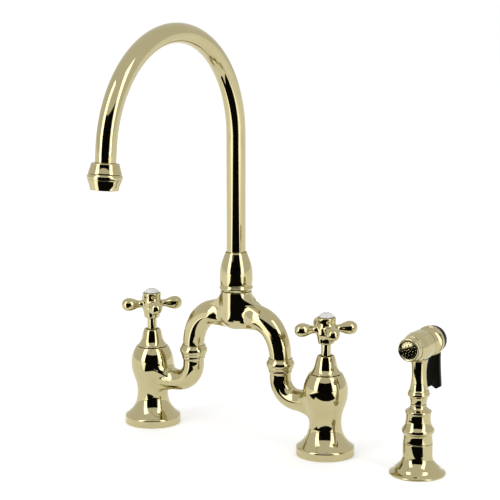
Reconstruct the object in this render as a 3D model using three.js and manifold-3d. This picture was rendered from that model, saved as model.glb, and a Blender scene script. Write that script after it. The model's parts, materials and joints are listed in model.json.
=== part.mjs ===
// Bridge kitchen faucet: two valves with cross handles joined by a bridge,
// a swivelling gooseneck spout and a side sprayer in its own deck holder.
// Millimetres. X runs along the valves, the spout reaches towards -Y, Z is up.
// The origin is on the deck, midway between the two valve holes.
import * as THREE from "three";
import { mergeVertices } from "three/addons/utils/BufferGeometryUtils.js";
import Module from "manifold-3d";

// Layout.
const INCH = 25.4;
const VALVE_X = 4 * INCH;
const UNION_X = 2 * INCH;
const SPRAYER_X = 8 * INCH;
const SPRAYER_Y = -5;
const COUNTER_DEPTH = 30;

// Clearances, the overrun of a cut and the least size of an outline's step.
const GAP = 0.3;
const RUNNING = 0.4;
const THROUGH = 1;
const TOUCH = 0.001;

// Parts of a full turn.
const HALF_TURN = Math.PI;
const QUARTER_TURN = Math.PI / 2;

// Roundness: sides of turned pieces and steps along curves.
const WIDE = 20;
const MIDDLE = 14;
const SMALL = 10;
const CURVE = 4;
const ROUNDING = 2;
const PULL = 0.4;

// Valve body.
const FLANGE_RADIUS = 28.35;
const FLANGE_EDGE = 7.2;
const FLANGE_LIP = 0.9;
const FLANGE_TOP = 9;
const FLANGE_LEAN = -52;
const WAIST_RADIUS = 15.6;
const WAIST_HEIGHT = 33;
const BULB_RADIUS = 21.6;
const BULB_HEIGHT = 62;
const SHOULDER_RADIUS = 16.2;
const SHOULDER_HEIGHT = 80;
const SHOULDER_LEAN = -30;
const SOCKET_DEPTH = 14;
const INLET_RADIUS = 5;
const CHAMBER_RADIUS = 11;
const CHAMBER_FLOOR = 42;

// Elbow from the bulb up to the union.
const ELBOW_RADIUS = 10.55;
const ELBOW_FLARE = 13.2;
const ELBOW_BEND = 19.5;
const ELBOW_HEIGHT = 48.6;
const ELBOW_ROOT = 7.8;
const ELBOW_BORE = 6.5;
const COLLAR_BASE = 73.2;
const COLLAR_RADIUS = 11.6;
const COLLAR_SWELL = 2;
const COLLAR_TOP = 76.5;
const UNION_THREAD_RADIUS = 10.9;
const UNION_THREAD_TOP = 80.9;

// Union ring.
const RING_FOOT = 12.2;
const RING_BEAD = 13.9;
const RING_BEAD_HEIGHT = 82.2;
const RING_TOP_RADIUS = 11.6;
const RING_TOP = 88;
const RING_TOP_LEAN = -26;
const RING_LIP = 2;
const SEAL_INNER = 8.6;
const SEAL_THICKNESS = 1.2;

// Bridge.
const ARM_HEIGHT = 124.4;
const ARM_RADIUS = 12.5;
const ARM_END_RADIUS = 10.7;
const ARM_LEVEL = 15.4;
const ARM_DROP_HEIGHT = 88.1;
const ARM_END = 82.7;
const ARM_FLANGE_RADIUS = 11.6;
const ARM_FLANGE_THICKNESS = 3;
const ARM_BORE = 8;
const TRUNK_RADIUS = 15.5;
const TRUNK_RISE = 24.6;
const TRUNK_TOP = ARM_HEIGHT + TRUNK_RISE;
const TRUNK_FILLET = 12;
const TRUNK_DROP = 14.2;
const TRUNK_BOTTOM = ARM_HEIGHT - TRUNK_DROP;
const TRUNK_BORE = 10.3;
const TRUNK_FLOOR_DROP = 6.4;
const TRUNK_FLOOR = ARM_HEIGHT - TRUNK_FLOOR_DROP;
const SPIGOT_RADIUS = 13.6;
const SPIGOT_RISE = 7;
const SPIGOT_TOP = TRUNK_TOP + SPIGOT_RISE;

// Spout bonnet.
const BONNET_GAP = 0.5;
const BONNET_BOTTOM = TRUNK_TOP + BONNET_GAP;
const BONNET_EDGE_RADIUS = 15.4;
const BONNET_BEAD_RADIUS = 16.6;
const BONNET_BEAD_RISE = 2.9;
const BONNET_BEAD_HEIGHT = BONNET_BOTTOM + BONNET_BEAD_RISE;
const BONNET_GROOVE_RADIUS = 15.7;
const BONNET_GROOVE_RISE = 6;
const BONNET_GROOVE_HEIGHT = BONNET_BOTTOM + BONNET_GROOVE_RISE;
const BONNET_BELLY_RADIUS = 16.25;
const BONNET_BELLY_RISE = 14.5;
const BONNET_BELLY_HEIGHT = BONNET_BOTTOM + BONNET_BELLY_RISE;
const BONNET_TOP_RADIUS = 10.5;
const BONNET_RISE = 38.1;
const BONNET_TOP = BONNET_BOTTOM + BONNET_RISE;
const BONNET_TOP_LEAN = -20;
const BONNET_CAVITY = 12.7;
const BONNET_SHOULDER_RISE = 23.7;
const BONNET_SHOULDER = BONNET_BOTTOM + BONNET_SHOULDER_RISE;

// Gooseneck.
const TUBE_RADIUS = 9.5;
const TUBE_BORE = 8.3;
const TUBE_RISE = 4.3;
const TUBE_BOTTOM = SPIGOT_TOP + TUBE_RISE;
const COLUMN_RISE = 114;
const COLUMN_TOP = BONNET_TOP + COLUMN_RISE;
const NECK_BEND = 103.2;
const NECK_TURN = 174;
const NECK_STEPS = 17;
const TIP_DROP = 36.6;

// Swivel inside the trunk.
const SWIVEL_RADIUS = 9.9;
const SWIVEL_DROP = 18;
const SWIVEL_BOTTOM = TRUNK_TOP - SWIVEL_DROP;
const SWIVEL_BORE = 6.5;
const CUP_RADIUS = 12.2;
const CUP_RISE = 11.7;
const CUP_TOP = TUBE_BOTTOM + CUP_RISE;
const GROOVE_RADIUS = 7.9;
const GROOVE_HALF = 1.4;
const LOWER_GROOVE_RISE = 5;
const LOWER_GROOVE = SWIVEL_BOTTOM + LOWER_GROOVE_RISE;
const UPPER_GROOVE_RISE = 15;
const UPPER_GROOVE = SWIVEL_BOTTOM + UPPER_GROOVE_RISE;
const O_RING_WIRE = 1;
const GLIDE_THICKNESS = 0.6;

// Diverter.
const DIVERTER_RADIUS = 9.9;
const DIVERTER_BOTTOM = TRUNK_FLOOR + GAP;
const DIVERTER_LENGTH = 12.1;
const DIVERTER_TOP = DIVERTER_BOTTOM + DIVERTER_LENGTH;
const DIVERTER_BORE = 6;
const DIVERTER_FLOOR_RISE = 3.2;
const DIVERTER_FLOOR = DIVERTER_BOTTOM + DIVERTER_FLOOR_RISE;
const DIVERTER_WINDOW = 3;
const POPPET_RADIUS = 5.5;
const POPPET_STEM = 2.2;
const POPPET_HEAD = 4;

// Outlet, measured up the spout's axis from its lower end.
const OUTLET_RADIUS = 12.7;
const OUTLET_NECK_RADIUS = 14.4;
const OUTLET_NECK = 7;
const OUTLET_NECK_LEAN = 24;
const OUTLET_BEAD = 15.85;
const OUTLET_BEAD_HEIGHT = 11.3;
const OUTLET_SEAM = 13.9;
const OUTLET_SEAM_RADIUS = 14.95;
const OUTLET_SEAM_LEAN = -20;
const COLLAR_SHELF_RADIUS = 12.6;
const COLLAR_SHELF_HEIGHT = 22.5;
const COLLAR_SHELF_LEAN = -12;
const OUTLET_TOP_RADIUS = 10.3;
const OUTLET_TOP = 24;
const OUTLET_LIP_BORE = 10;
const OUTLET_LIP = 1.2;
const OUTLET_BORE = 11;
const OUTLET_SPIGOT = 10.7;
const OUTLET_SPIGOT_BOTTOM = 5.7;
const OUTLET_WAY = 7.8;
const TUBE_SEAT = 12;
const SCREEN_THICKNESS = 2;
const SCREEN_HOLE = 1.3;
const SCREEN_RING = 6;
const SCREEN_HOLES = 6;
const OUTLET_WASHER_BORE = 8.4;
const OUTLET_WASHER_THICKNESS = 1.6;

// Valve bonnet.
const CONE_FOOT_RADIUS = 14.8;
const CONE_FOOT = 80.3;
const CONE_TOP_RADIUS = 8;
const CONE_TOP = 97.5;
const CONE_FOOT_LEAN = -46;
const CONE_TOP_LEAN = -23;
const CONE_SKIRT_RADIUS = 10.7;
const CONE_SKIRT_BOTTOM = 71;
const CONE_BORE = 8;
const CONE_BORE_TOP = 85;
const CONE_RECESS_RADIUS = 6.5;
const CONE_RECESS_DEPTH = 3;

// Cartridge, discs and stem.
const CARTRIDGE_RADIUS = 10.4;
const CARTRIDGE_BORE = 7.95;
const CARTRIDGE_SHOULDER = 55;
const CARTRIDGE_NECK_BASE = 70.5;
const CARTRIDGE_NECK_RADIUS = 7.6;
const CARTRIDGE_TOP = 84.6;
const CARTRIDGE_WINDOW = 4;
const SEAT_SEAL_RADIUS = 8;
const SEAT_SEAL_BORE = 5.5;
const SEAT_SEAL_THICKNESS = 1.7;
const DISC_RADIUS = 7.6;
const DISC_THICKNESS = 3;
const DISC_BOTTOM = CHAMBER_FLOOR + SEAT_SEAL_THICKNESS + 2 * GAP;
const DISC_PORT = 2;
const DISC_PORT_OFFSET = 4;
const STEM_FLANGE_RADIUS = 7.2;
const STEM_FLANGE_THICKNESS = 3.1;
const STEM_SHAFT_RADIUS = 4.2;
const STEM_NECK_RADIUS = 4.7;
const STEM_SPLINE_RADIUS = 3.8;
const STEM_TOP = 121;
const SCREW_HOLE_RADIUS = 1.9;
const SCREW_HOLE_DEPTH = 8;

// Cross handle.
const HUB_BOTTOM = 109.2;
const HUB_FOOT_RADIUS = 7.2;
const HUB_NECK_RADIUS = 8.1;
const HUB_NECK_HEIGHT = 111.6;
const HUB_BALL_RADIUS = 9.8;
const HUB_BALL_HEIGHT = 122;
const HUB_WAIST_RADIUS = 8.9;
const HUB_WAIST_HEIGHT = 128.5;
const HUB_RIM_RADIUS = 9.35;
const HUB_RIM_HEIGHT = 133.6;
const HUB_TOP = 135;
const HUB_TOP_RADIUS = 8;
const HUB_SOCKET_TOP = 121.3;
const HUB_SEAT = 124;
const HUB_CUP_FLOOR = 129;
const HUB_CUP_RADIUS = 7.6;
const HUB_WELL_RADIUS = 5;
const SCREW_CLEARANCE_RADIUS = 2.3;
const HANDLE_ARM_HEIGHT = 123.4;
const HANDLE_ARM_TURN = 45;
const HANDLE_ARMS = 4;
const HANDLE_ARM_ROOT = 6;
const HANDLE_ARM_NECK = 11;
const HANDLE_ARM_NECK_RADIUS = 3.65;
const HANDLE_ARM_SWELL = 23.5;
const HANDLE_ARM_SWELL_RADIUS = 6.75;
const HANDLE_ARM_END = 30.8;
const SCREW_HEAD_RADIUS = 4.4;
const SCREW_HEAD_THICKNESS = 3;
const SCREW_RADIUS = 1.6;
const SCREW_SLOT = 1;
const BUTTON_RADIUS = 7.3;
const BUTTON_EDGE = 135;
const BUTTON_TOP = 139.5;

// Mounting below the deck.
const SHANK_RADIUS = 10.2;
const SHANK_BOTTOM = -55;
const GASKET_THICKNESS = 1.7;
const GASKET_RADIUS = 24.4;
const GASKET_BORE = 12;
const WASHER_RADIUS = 19;
const WASHER_THICKNESS = 2;
const NUT_REACH = 17;
const NUT_HEIGHT = 9.7;
const NUT_SIDES = 6;

// Sprayer holder.
const HOLDER_FLANGE = 26.4;
const HOLDER_STEP = 6;
const HOLDER_STEP_RADIUS = 21.2;
const HOLDER_STEP_LEAN = -30;
const HOLDER_WAIST = 13.95;
const HOLDER_WAIST_HEIGHT = 18;
const HOLDER_TOP = 29.8;
const HOLDER_LEAN = -48;
const HOLDER_SHANK = 13;
const HOLDER_SHANK_BOTTOM = -48;
const HOLDER_BORE = 9.8;
const HOLDER_SOCKET = 12;
const HOLDER_SOCKET_FLOOR = 8;
const HOLDER_GASKET_RADIUS = 21.5;
const HOLDER_GASKET_BORE = 14;
const HOLDER_WASHER_RADIUS = 22;
const HOLDER_NUT_REACH = 20;
const HOLDER_NUT_HEIGHT = 8;
const LINER_RADIUS = 11.7;
const LINER_BORE = 10.3;

// Sprayer grip.
const GRIP_FOOT = HOLDER_TOP + RUNNING;
const GRIP_FOOT_RADIUS = 13.85;
const GRIP_COVE_RADIUS = 13.4;
const GRIP_COVE_HEIGHT = 37.4;
const GRIP_BEAD_RADIUS = 15.3;
const GRIP_BEAD_HEIGHT = 41.9;
const GRIP_BEAD_LEAN = -35;
const GRIP_WAIST_RADIUS = 11.6;
const GRIP_WAIST_HEIGHT = 54.5;
const GRIP_RIM_RADIUS = 12.4;
const GRIP_RIM_HEIGHT = 59.9;
const GRIP_RIM_LEAN = -60;
const GRIP_TOP_RADIUS = 7.6;
const GRIP_TOP = 66.8;
const GRIP_TAIL_RADIUS = 9.9;
const GRIP_TAIL_BOTTOM = 12.5;
const GRIP_WAY = 5.2;
const GRIP_SOCKET = 5.8;
const GRIP_SOCKET_FLOOR = 55;
const COUPLING_RADIUS = 8.5;
const COUPLING_BOTTOM = -10;
const COUPLING_SPIGOT = 4.7;
const COUPLING_SPIGOT_TOP = 23.5;
const COUPLING_WAY = 3.2;

// Sprayer head: the neck by height, the barrel by its reach towards the front.
const NECK_BOTTOM = 67.1;
const NECK_SPIGOT = 5.4;
const NECK_SPIGOT_BOTTOM = 55.3;
const NECK_RING_RADIUS = 10.4;
const NECK_RING_HEIGHT = 75.4;
const NECK_RING_LEAN = 50;
const NECK_SHELF_RADIUS = 8.5;
const NECK_SHELF_HEIGHT = 80;
const NECK_SHELF_LEAN = -23;
const NECK_THIN_RADIUS = 6.8;
const NECK_THIN_HEIGHT = 97;
const NECK_FLARE_RADIUS = 8.4;
const NECK_FLARE_HEIGHT = 111;
const NECK_FLARE_LEAN = 23;
const NECK_WAY = 4;
const BARREL_HEIGHT = 122.1;
const BARREL_FRONT = 16;
const BARREL_FRONT_RADIUS = 11.7;
const BARREL_FRONT_LEAN = -23;
const BARREL_BELLY_RADIUS = 13.9;
const BARREL_BELLY = -4.5;
const BARREL_BELLY_LEAN = 50;
const BARREL_GROOVE_RADIUS = 11;
const BARREL_GROOVE = -12.5;
const BARREL_FLANGE_RADIUS = 14.2;
const BARREL_FLANGE = -19.6;
const BARREL_FLANGE_LEAN = -40;
const BARREL_REAR = -23;
const BARREL_FACE_BORE = 9;
const BARREL_FACE_SHELF = 9;
const BARREL_CHAMBER = 7;
const BARREL_REAR_SHELF = -12;
const BARREL_REAR_BORE = 8.8;
const BARREL_COUNTERBORE = 11;
const BARREL_COUNTERBORE_SHELF = -20;
const FACE_RADIUS = 11.2;
const FACE_EDGE_RADIUS = 10.6;
const FACE_FRONT = 22.6;
const FACE_REAR = 16.3;
const FACE_SPIGOT = 8.7;
const FACE_PLATE = 2;
const FACE_RECESS = 0.6;
const FACE_RECESS_RADIUS = 8.9;
const FACE_WAY = 5.2;
const FACE_HOLE = 0.8;
const FACE_HOLES = 8;
const FACE_HOLE_RING = 4;
const CAP_RADIUS = 12.8;
const CAP_FRONT = -23.6;
const CAP_REAR = -32.2;
const CAP_ROUNDING = 2.6;
const CAP_FLANGE_RADIUS = 10.7;
const CAP_FLANGE_FRONT = -20.4;
const CAP_SPIGOT = 8.4;
const CAP_SPIGOT_FRONT = -12.4;
const CAP_WAY = 2.5;
const CAP_SLOT_WIDTH = 15.6;
const CAP_SLOT_DEPTH = 7.3;
const CAP_SLOT_CLEARANCE = 0.3;

// Squeeze lever and its plunger.
const LEVER_WIDTH = 15;
const LEVER_FOOT_WIDTH = 18;
const LEVER_FRONT_Y = 25.8;
const LEVER_THICKNESS = 3.8;
const LEVER_OVER_PIN = 3;
const LEVER_BOTTOM = 75.6;
const LEVER_LOBE = 1.6;
const LEVER_FLARE_HEIGHT = 106;
const LEVER_TOP_ROUNDING = 3;
const LEVER_CHANNEL_WIDTH = 9;
const LEVER_CHANNEL_DEPTH = 0.9;
const LEVER_CHANNEL_MARGIN = 8;
const PIN_RADIUS = 1.2;
const PIN_LENGTH = 21;
const PIN_RISE = 6.1;
const PIN_HEIGHT = BARREL_HEIGHT + PIN_RISE;
const LEVER_TOP = PIN_HEIGHT + LEVER_OVER_PIN;
const CAP_SLOT_TOP = LEVER_TOP + CAP_SLOT_CLEARANCE;
const PIN_Y = 27.7;
const PLUNGER_RADIUS = 2;
const PLUNGER_REAR = -25.5;
const PLUNGER_HEAD_RADIUS = 6.5;
const PLUNGER_HEAD_REAR = -2;
const PLUNGER_HEAD_FRONT = 1.2;
const SPRING_RADIUS = 5.9;
const SPRING_WIRE = 0.5;
const SPRING_TURNS = 4;
const SPRING_TURN_STEPS = 10;
const WIRE_SIDES = 6;
const HOLE_SIDES = 6;

// Finishes.
const BRASS = { color: 0xd3c38c, roughness: 0.12, metalness: 1 };
const INNER_BRASS = { color: 0xb99a52, roughness: 0.4, metalness: 1 };
const CERAMIC = { color: 0xe9e6dc, roughness: 0.35, metalness: 0 };
const PORCELAIN = { color: 0xf3f2ee, roughness: 0.15, metalness: 0 };
const RUBBER = { color: 0x1c1c1e, roughness: 0.8, metalness: 0 };
const BLACK_PLASTIC = { color: 0x141414, roughness: 0.3, metalness: 0 };
const NYLON = { color: 0xd9d6cc, roughness: 0.55, metalness: 0 };
const STEEL = { color: 0xb4b6b8, roughness: 0.35, metalness: 1 };

const wasm = await Module();
wasm.setup();

// One closed solid from a geometry, with the corners that its faces share joined.
function solid(geometry) {
  const bare = new THREE.BufferGeometry();
  bare.setAttribute("position", geometry.getAttribute("position"));
  bare.setIndex(geometry.getIndex());
  const joined = mergeVertices(bare);
  return new wasm.Manifold(
    new wasm.Mesh({
      numProp: 3,
      vertProperties: joined.attributes.position.array,
      triVerts: new Uint32Array(joined.index.array),
    }),
  );
}

// Solid turned about Z from an outline of [radius, height] corners.
function turned(outline, sides = WIDE) {
  const points = outline.map(([radius, height]) => new THREE.Vector2(radius, height));
  if (THREE.ShapeUtils.area(points) < 0) points.reverse();
  if (points[0].x > 0) points.push(points[0].clone());
  const lathe = new THREE.LatheGeometry(points, sides);
  lathe.rotateX(Math.PI / 2);
  return solid(lathe);
}

// Plain round bar from one height to another.
function bar(radius, bottom, top, sides = WIDE) {
  return turned([[0, bottom], [radius, bottom], [radius, top], [0, top]], sides);
}

// Plain ring with an outer and an inner radius.
function ring(outer, inner, bottom, top, sides = WIDE) {
  return turned([[inner, bottom], [outer, bottom], [outer, top], [inner, top]], sides);
}

// Direction in an outline that leans outwards from straight up by some degrees.
function leaning(degrees) {
  const angle = THREE.MathUtils.degToRad(degrees);
  return new THREE.Vector2(Math.sin(angle), Math.cos(angle));
}

// Easy curve between two corners of an outline, leaving and arriving at a lean.
function flow(from, to, leave = 0, arrive = 0, steps = CURVE) {
  const start = new THREE.Vector2(...from);
  const end = new THREE.Vector2(...to);
  const reach = PULL * start.distanceTo(end);
  const first = start.clone().addScaledVector(leaning(leave), reach);
  const second = end.clone().addScaledVector(leaning(arrive), -reach);
  const curve = new THREE.CubicBezierCurve(start, first, second, end);
  return curve.getPoints(steps).map((point) => point.toArray());
}

// Quarter ellipse that leaves straight up and closes over flat.
function dome(from, to, steps = ROUNDING) {
  const corners = [];
  for (let step = 0; step <= steps; step += 1) {
    const angle = (Math.PI / 2) * (step / steps);
    const radius = to[0] + (from[0] - to[0]) * Math.cos(angle);
    const height = from[1] + (to[1] - from[1]) * Math.sin(angle);
    corners.push([radius, height]);
  }
  return corners;
}

// Quarter ellipse that starts flat and ends straight up.
function bowl(from, to, steps = ROUNDING) {
  return dome(to, from, steps).reverse();
}

// Outline of a row of curves, with the corners that neighbours share kept once.
function outlineOf(...runs) {
  const corners = runs.flat();
  return corners.filter((corner, index) => {
    const before = corners[index - 1];
    return !before || Math.hypot(corner[0] - before[0], corner[1] - before[1]) > TOUCH;
  });
}

// Stations round part of an ellipse, as places, headings and shares of the way.
function bend(centre, reach, from, to, steps) {
  const stations = [];
  const way = Math.sign(to - from);
  for (let step = 0; step <= steps; step += 1) {
    const share = step / steps;
    const angle = from + (to - from) * share;
    const place = [centre[0] + reach[0] * Math.cos(angle), centre[1] + reach[1] * Math.sin(angle)];
    const heading = [-way * reach[0] * Math.sin(angle), way * reach[1] * Math.cos(angle)];
    stations.push({ place, heading, share });
  }
  return stations;
}

// Closed solid skinned over a row of rings of corners.
function loft(rings) {
  const sides = rings[0].length;
  const faces = [];
  for (let row = 0; row < rings.length - 1; row += 1) {
    for (let corner = 0; corner < sides; corner += 1) {
      const next = (corner + 1) % sides;
      const low = row * sides;
      const high = low + sides;
      faces.push(low + corner, low + next, high + corner);
      faces.push(low + next, high + next, high + corner);
    }
  }
  const last = (rings.length - 1) * sides;
  for (let corner = 1; corner < sides - 1; corner += 1) {
    faces.push(0, corner + 1, corner);
    faces.push(last, last + corner, last + corner + 1);
  }
  const corners = rings.flat().flatMap((corner) => corner.toArray());
  const geometry = new THREE.BufferGeometry();
  geometry.setAttribute("position", new THREE.Float32BufferAttribute(corners, 3));
  geometry.setIndex(faces);
  return solid(geometry);
}

// Corners of a circle that starts at one direction and turns towards another.
function circle(centre, start, towards, radius, sides) {
  const corners = [];
  for (let corner = 0; corner < sides; corner += 1) {
    const turn = (2 * Math.PI * corner) / sides;
    const point = centre.clone();
    point.addScaledVector(start, radius * Math.cos(turn));
    point.addScaledVector(towards, radius * Math.sin(turn));
    corners.push(point);
  }
  return corners;
}

// Round tube through stations in an upright plane, with a radius at each.
function tube(stations, axis, sides) {
  const side = axis === "x" ? new THREE.Vector3(0, 1, 0) : new THREE.Vector3(1, 0, 0);
  const lift = ([along, up]) => {
    return axis === "x" ? new THREE.Vector3(along, 0, up) : new THREE.Vector3(0, along, up);
  };
  const rings = stations.map(({ place, heading, radius }) => {
    const across = lift(heading).normalize().cross(side);
    return circle(lift(place), side, across, radius, sides);
  });
  return loft(rings);
}

// Helical wire about Z between two heights.
function coil(radius, wire, bottom, top, turns) {
  const steps = turns * SPRING_TURN_STEPS;
  const rise = (top - bottom - 2 * wire) / steps;
  const rings = [];
  for (let step = 0; step <= steps; step += 1) {
    const angle = (2 * Math.PI * step) / SPRING_TURN_STEPS;
    const outward = new THREE.Vector3(Math.cos(angle), Math.sin(angle), 0);
    const centre = outward.clone().multiplyScalar(radius).setZ(bottom + wire + rise * step);
    const arc = (2 * Math.PI * radius) / SPRING_TURN_STEPS;
    const along = new THREE.Vector3(-outward.y * arc, outward.x * arc, rise).normalize();
    rings.push(circle(centre, outward, along.cross(outward), wire, WIRE_SIDES));
  }
  return loft(rings);
}

// Box from its two opposite corners.
function block(low, high) {
  const size = high.map((value, index) => value - low[index]);
  const middle = high.map((value, index) => (value + low[index]) / 2);
  return solid(new THREE.BoxGeometry(...size)).translate(middle);
}

// Bar lying along X through a point of the Y-Z plane.
function crossBar(radius, length, y, z, sides = SMALL) {
  return bar(radius, -length / 2, length / 2, sides).rotate([0, 90, 0]).translate([0, y, z]);
}

// Turned solid whose heights run towards the front, at the barrel's height.
function forward(body) {
  return body.rotate([90, 0, 0]).translate([0, 0, BARREL_HEIGHT]);
}

// Named mesh with its own finish.
function piece(name, body, finish) {
  const shape = body.getMesh();
  const geometry = new THREE.BufferGeometry();
  geometry.setAttribute("position", new THREE.BufferAttribute(shape.vertProperties, 3));
  geometry.setIndex(new THREE.BufferAttribute(shape.triVerts, 1));
  geometry.computeVertexNormals();
  const mesh = new THREE.Mesh(geometry, new THREE.MeshStandardMaterial(finish));
  mesh.name = name;
  return mesh;
}

// Outline of a valve body's flange, waist and bulb.
function valveOutline() {
  return outlineOf(
    [[0, 0]],
    [[FLANGE_RADIUS, 0]],
    dome([FLANGE_RADIUS, FLANGE_EDGE], [FLANGE_RADIUS - FLANGE_LIP, FLANGE_TOP]),
    flow([FLANGE_RADIUS - FLANGE_LIP, FLANGE_TOP], [WAIST_RADIUS, WAIST_HEIGHT], FLANGE_LEAN, 0, CURVE + 1),
    flow([WAIST_RADIUS, WAIST_HEIGHT], [BULB_RADIUS, BULB_HEIGHT]),
    flow([BULB_RADIUS, BULB_HEIGHT], [SHOULDER_RADIUS, SHOULDER_HEIGHT], 0, SHOULDER_LEAN),
    [[0, SHOULDER_HEIGHT]],
  );
}

// Centre line of a valve's elbow, from the valve's axis up to the union.
function elbowStations(side, widths, start, top) {
  const inward = -side;
  const bendStart = VALVE_X - UNION_X - ELBOW_BEND;
  const centre = [inward * bendStart, ELBOW_HEIGHT + ELBOW_BEND];
  const to = side > 0 ? -HALF_TURN : 0;
  const round = bend(centre, [ELBOW_BEND, ELBOW_BEND], -QUARTER_TURN, to, CURVE + 1);
  const level = [start, (start + bendStart) / 2].map((reach) => ({
    place: [inward * reach, ELBOW_HEIGHT],
    heading: [inward, 0],
  }));
  const rise = { place: [inward * (VALVE_X - UNION_X), top], heading: [0, 1] };
  return [...level, ...round, rise].map((station, index) => ({
    ...station,
    radius: widths[Math.min(index, widths.length - 1)],
  }));
}

// Valve body with its elbow, collar and union thread.
function valveBody(side) {
  const reach = -side * (VALVE_X - UNION_X);
  const elbow = tube(
    elbowStations(side, [ELBOW_FLARE, ELBOW_FLARE, ELBOW_RADIUS], ELBOW_ROOT, COLLAR_BASE + GAP),
    "x",
    MIDDLE,
  );
  const collar = turned(
    outlineOf(
      [[0, COLLAR_BASE]],
      flow([ELBOW_RADIUS, COLLAR_BASE], [COLLAR_RADIUS, COLLAR_BASE + COLLAR_SWELL], 0, 0, ROUNDING),
      [[COLLAR_RADIUS, COLLAR_TOP], [UNION_THREAD_RADIUS, COLLAR_TOP]],
      [[UNION_THREAD_RADIUS, UNION_THREAD_TOP], [0, UNION_THREAD_TOP]],
    ),
    MIDDLE,
  ).translate([reach, 0, 0]);
  const way = tube(elbowStations(side, [ELBOW_BORE], 0, UNION_THREAD_TOP + THROUGH), "x", SMALL);
  return turned(valveOutline())
    .add(elbow)
    .add(collar)
    .subtract(way)
    .subtract(bar(GASKET_RADIUS + GAP, -THROUGH, GASKET_THICKNESS + GAP))
    .subtract(bar(SHANK_RADIUS + GAP, -THROUGH, SOCKET_DEPTH, MIDDLE))
    .subtract(bar(INLET_RADIUS, 0, CHAMBER_FLOOR + THROUGH, SMALL))
    .subtract(bar(CHAMBER_RADIUS, CHAMBER_FLOOR, SHOULDER_HEIGHT + THROUGH, MIDDLE));
}

// Ring nut that draws the bridge down on the elbow.
function unionRing() {
  const threadTop = UNION_THREAD_TOP + GAP;
  const lipBottom = RING_TOP - RING_LIP;
  return turned(
    outlineOf(
      [[UNION_THREAD_RADIUS + GAP, COLLAR_TOP + GAP]],
      flow([RING_FOOT, COLLAR_TOP + GAP], [RING_BEAD, RING_BEAD_HEIGHT], 0, 0, CURVE),
      flow([RING_BEAD, RING_BEAD_HEIGHT], [RING_TOP_RADIUS, RING_TOP], 0, RING_TOP_LEAN, CURVE),
      [[ARM_END_RADIUS + GAP, RING_TOP], [ARM_END_RADIUS + GAP, lipBottom]],
      [[ARM_FLANGE_RADIUS + GAP, lipBottom], [ARM_FLANGE_RADIUS + GAP, threadTop]],
      [[UNION_THREAD_RADIUS + GAP, threadTop]],
    ),
    MIDDLE,
  );
}

// Flat seal under the bridge's end.
function unionSeal() {
  const bottom = UNION_THREAD_TOP + GAP;
  return ring(ARM_FLANGE_RADIUS, SEAL_INNER, bottom, bottom + SEAL_THICKNESS, MIDDLE);
}

// Centre line of one bridge arm, from the trunk out and down to the union.
function armStations(radiusAt, end) {
  const centre = [ARM_LEVEL, ARM_DROP_HEIGHT];
  const reach = [UNION_X - ARM_LEVEL, ARM_HEIGHT - ARM_DROP_HEIGHT];
  const start = { place: [-THROUGH, ARM_HEIGHT], heading: [1, 0], share: 0 };
  const finish = { place: [UNION_X, end], heading: [0, -1], share: 1 };
  const round = bend(centre, reach, QUARTER_TURN, 0, CURVE + 2);
  return [start, ...round, finish].map((station) => ({ ...station, radius: radiusAt(station.share) }));
}

// Smooth throat where the trunk turns into one arm.
function throatStations() {
  const middle = TRUNK_RADIUS + TRUNK_FILLET;
  const top = ARM_HEIGHT + ARM_RADIUS + TRUNK_FILLET;
  const round = bend([middle, top], [middle, top - ARM_HEIGHT], HALF_TURN, 3 * QUARTER_TURN, CURVE + 1);
  return round.map((station) => ({
    ...station,
    radius: THREE.MathUtils.lerp(TRUNK_RADIUS, ARM_RADIUS, station.share),
  }));
}

// Bridge with its trunk, both arms, the spigot on top and all water ways.
function bridgeBody() {
  const armRadius = (share) => THREE.MathUtils.lerp(ARM_RADIUS, ARM_END_RADIUS, share);
  const arm = tube(armStations(armRadius, ARM_END), "x", MIDDLE);
  const flange = bar(ARM_FLANGE_RADIUS, ARM_END, ARM_END + ARM_FLANGE_THICKNESS, MIDDLE);
  const half = arm.add(tube(throatStations(), "x", MIDDLE)).add(flange.translate([UNION_X, 0, 0]));
  const trunk = turned(
    outlineOf(
      bowl([0, TRUNK_BOTTOM], [TRUNK_RADIUS, ARM_HEIGHT], CURVE),
      [[TRUNK_RADIUS, TRUNK_TOP], [SPIGOT_RADIUS, TRUNK_TOP]],
      [[SPIGOT_RADIUS, SPIGOT_TOP], [0, SPIGOT_TOP]],
    ),
  );
  const armWay = tube(armStations(() => ARM_BORE, ARM_END - THROUGH), "x", SMALL);
  return trunk
    .add(half)
    .add(half.mirror([1, 0, 0]))
    .subtract(armWay)
    .subtract(armWay.mirror([1, 0, 0]))
    .subtract(bar(TRUNK_BORE, TRUNK_FLOOR, SPIGOT_TOP + THROUGH));
}

// Turned bulb that closes the trunk round the spout.
function spoutBonnet() {
  const bead = [BONNET_BEAD_RADIUS, BONNET_BEAD_HEIGHT];
  const groove = [BONNET_GROOVE_RADIUS, BONNET_GROOVE_HEIGHT];
  const belly = [BONNET_BELLY_RADIUS, BONNET_BELLY_HEIGHT];
  return turned(
    outlineOf(
      [[SPIGOT_RADIUS + GAP, BONNET_BOTTOM]],
      flow([BONNET_EDGE_RADIUS, BONNET_BOTTOM], bead, 0, 0, ROUNDING),
      flow(bead, groove, 0, 0, ROUNDING),
      flow(groove, belly, 0, 0, ROUNDING),
      flow(belly, [BONNET_TOP_RADIUS, BONNET_TOP], 0, BONNET_TOP_LEAN, CURVE + 1),
      [[TUBE_RADIUS + GAP, BONNET_TOP], [TUBE_RADIUS + GAP, BONNET_SHOULDER]],
      [[BONNET_CAVITY, BONNET_SHOULDER], [BONNET_CAVITY, SPIGOT_TOP + THROUGH]],
      [[SPIGOT_RADIUS + GAP, SPIGOT_TOP + THROUGH]],
    ),
  );
}

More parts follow.
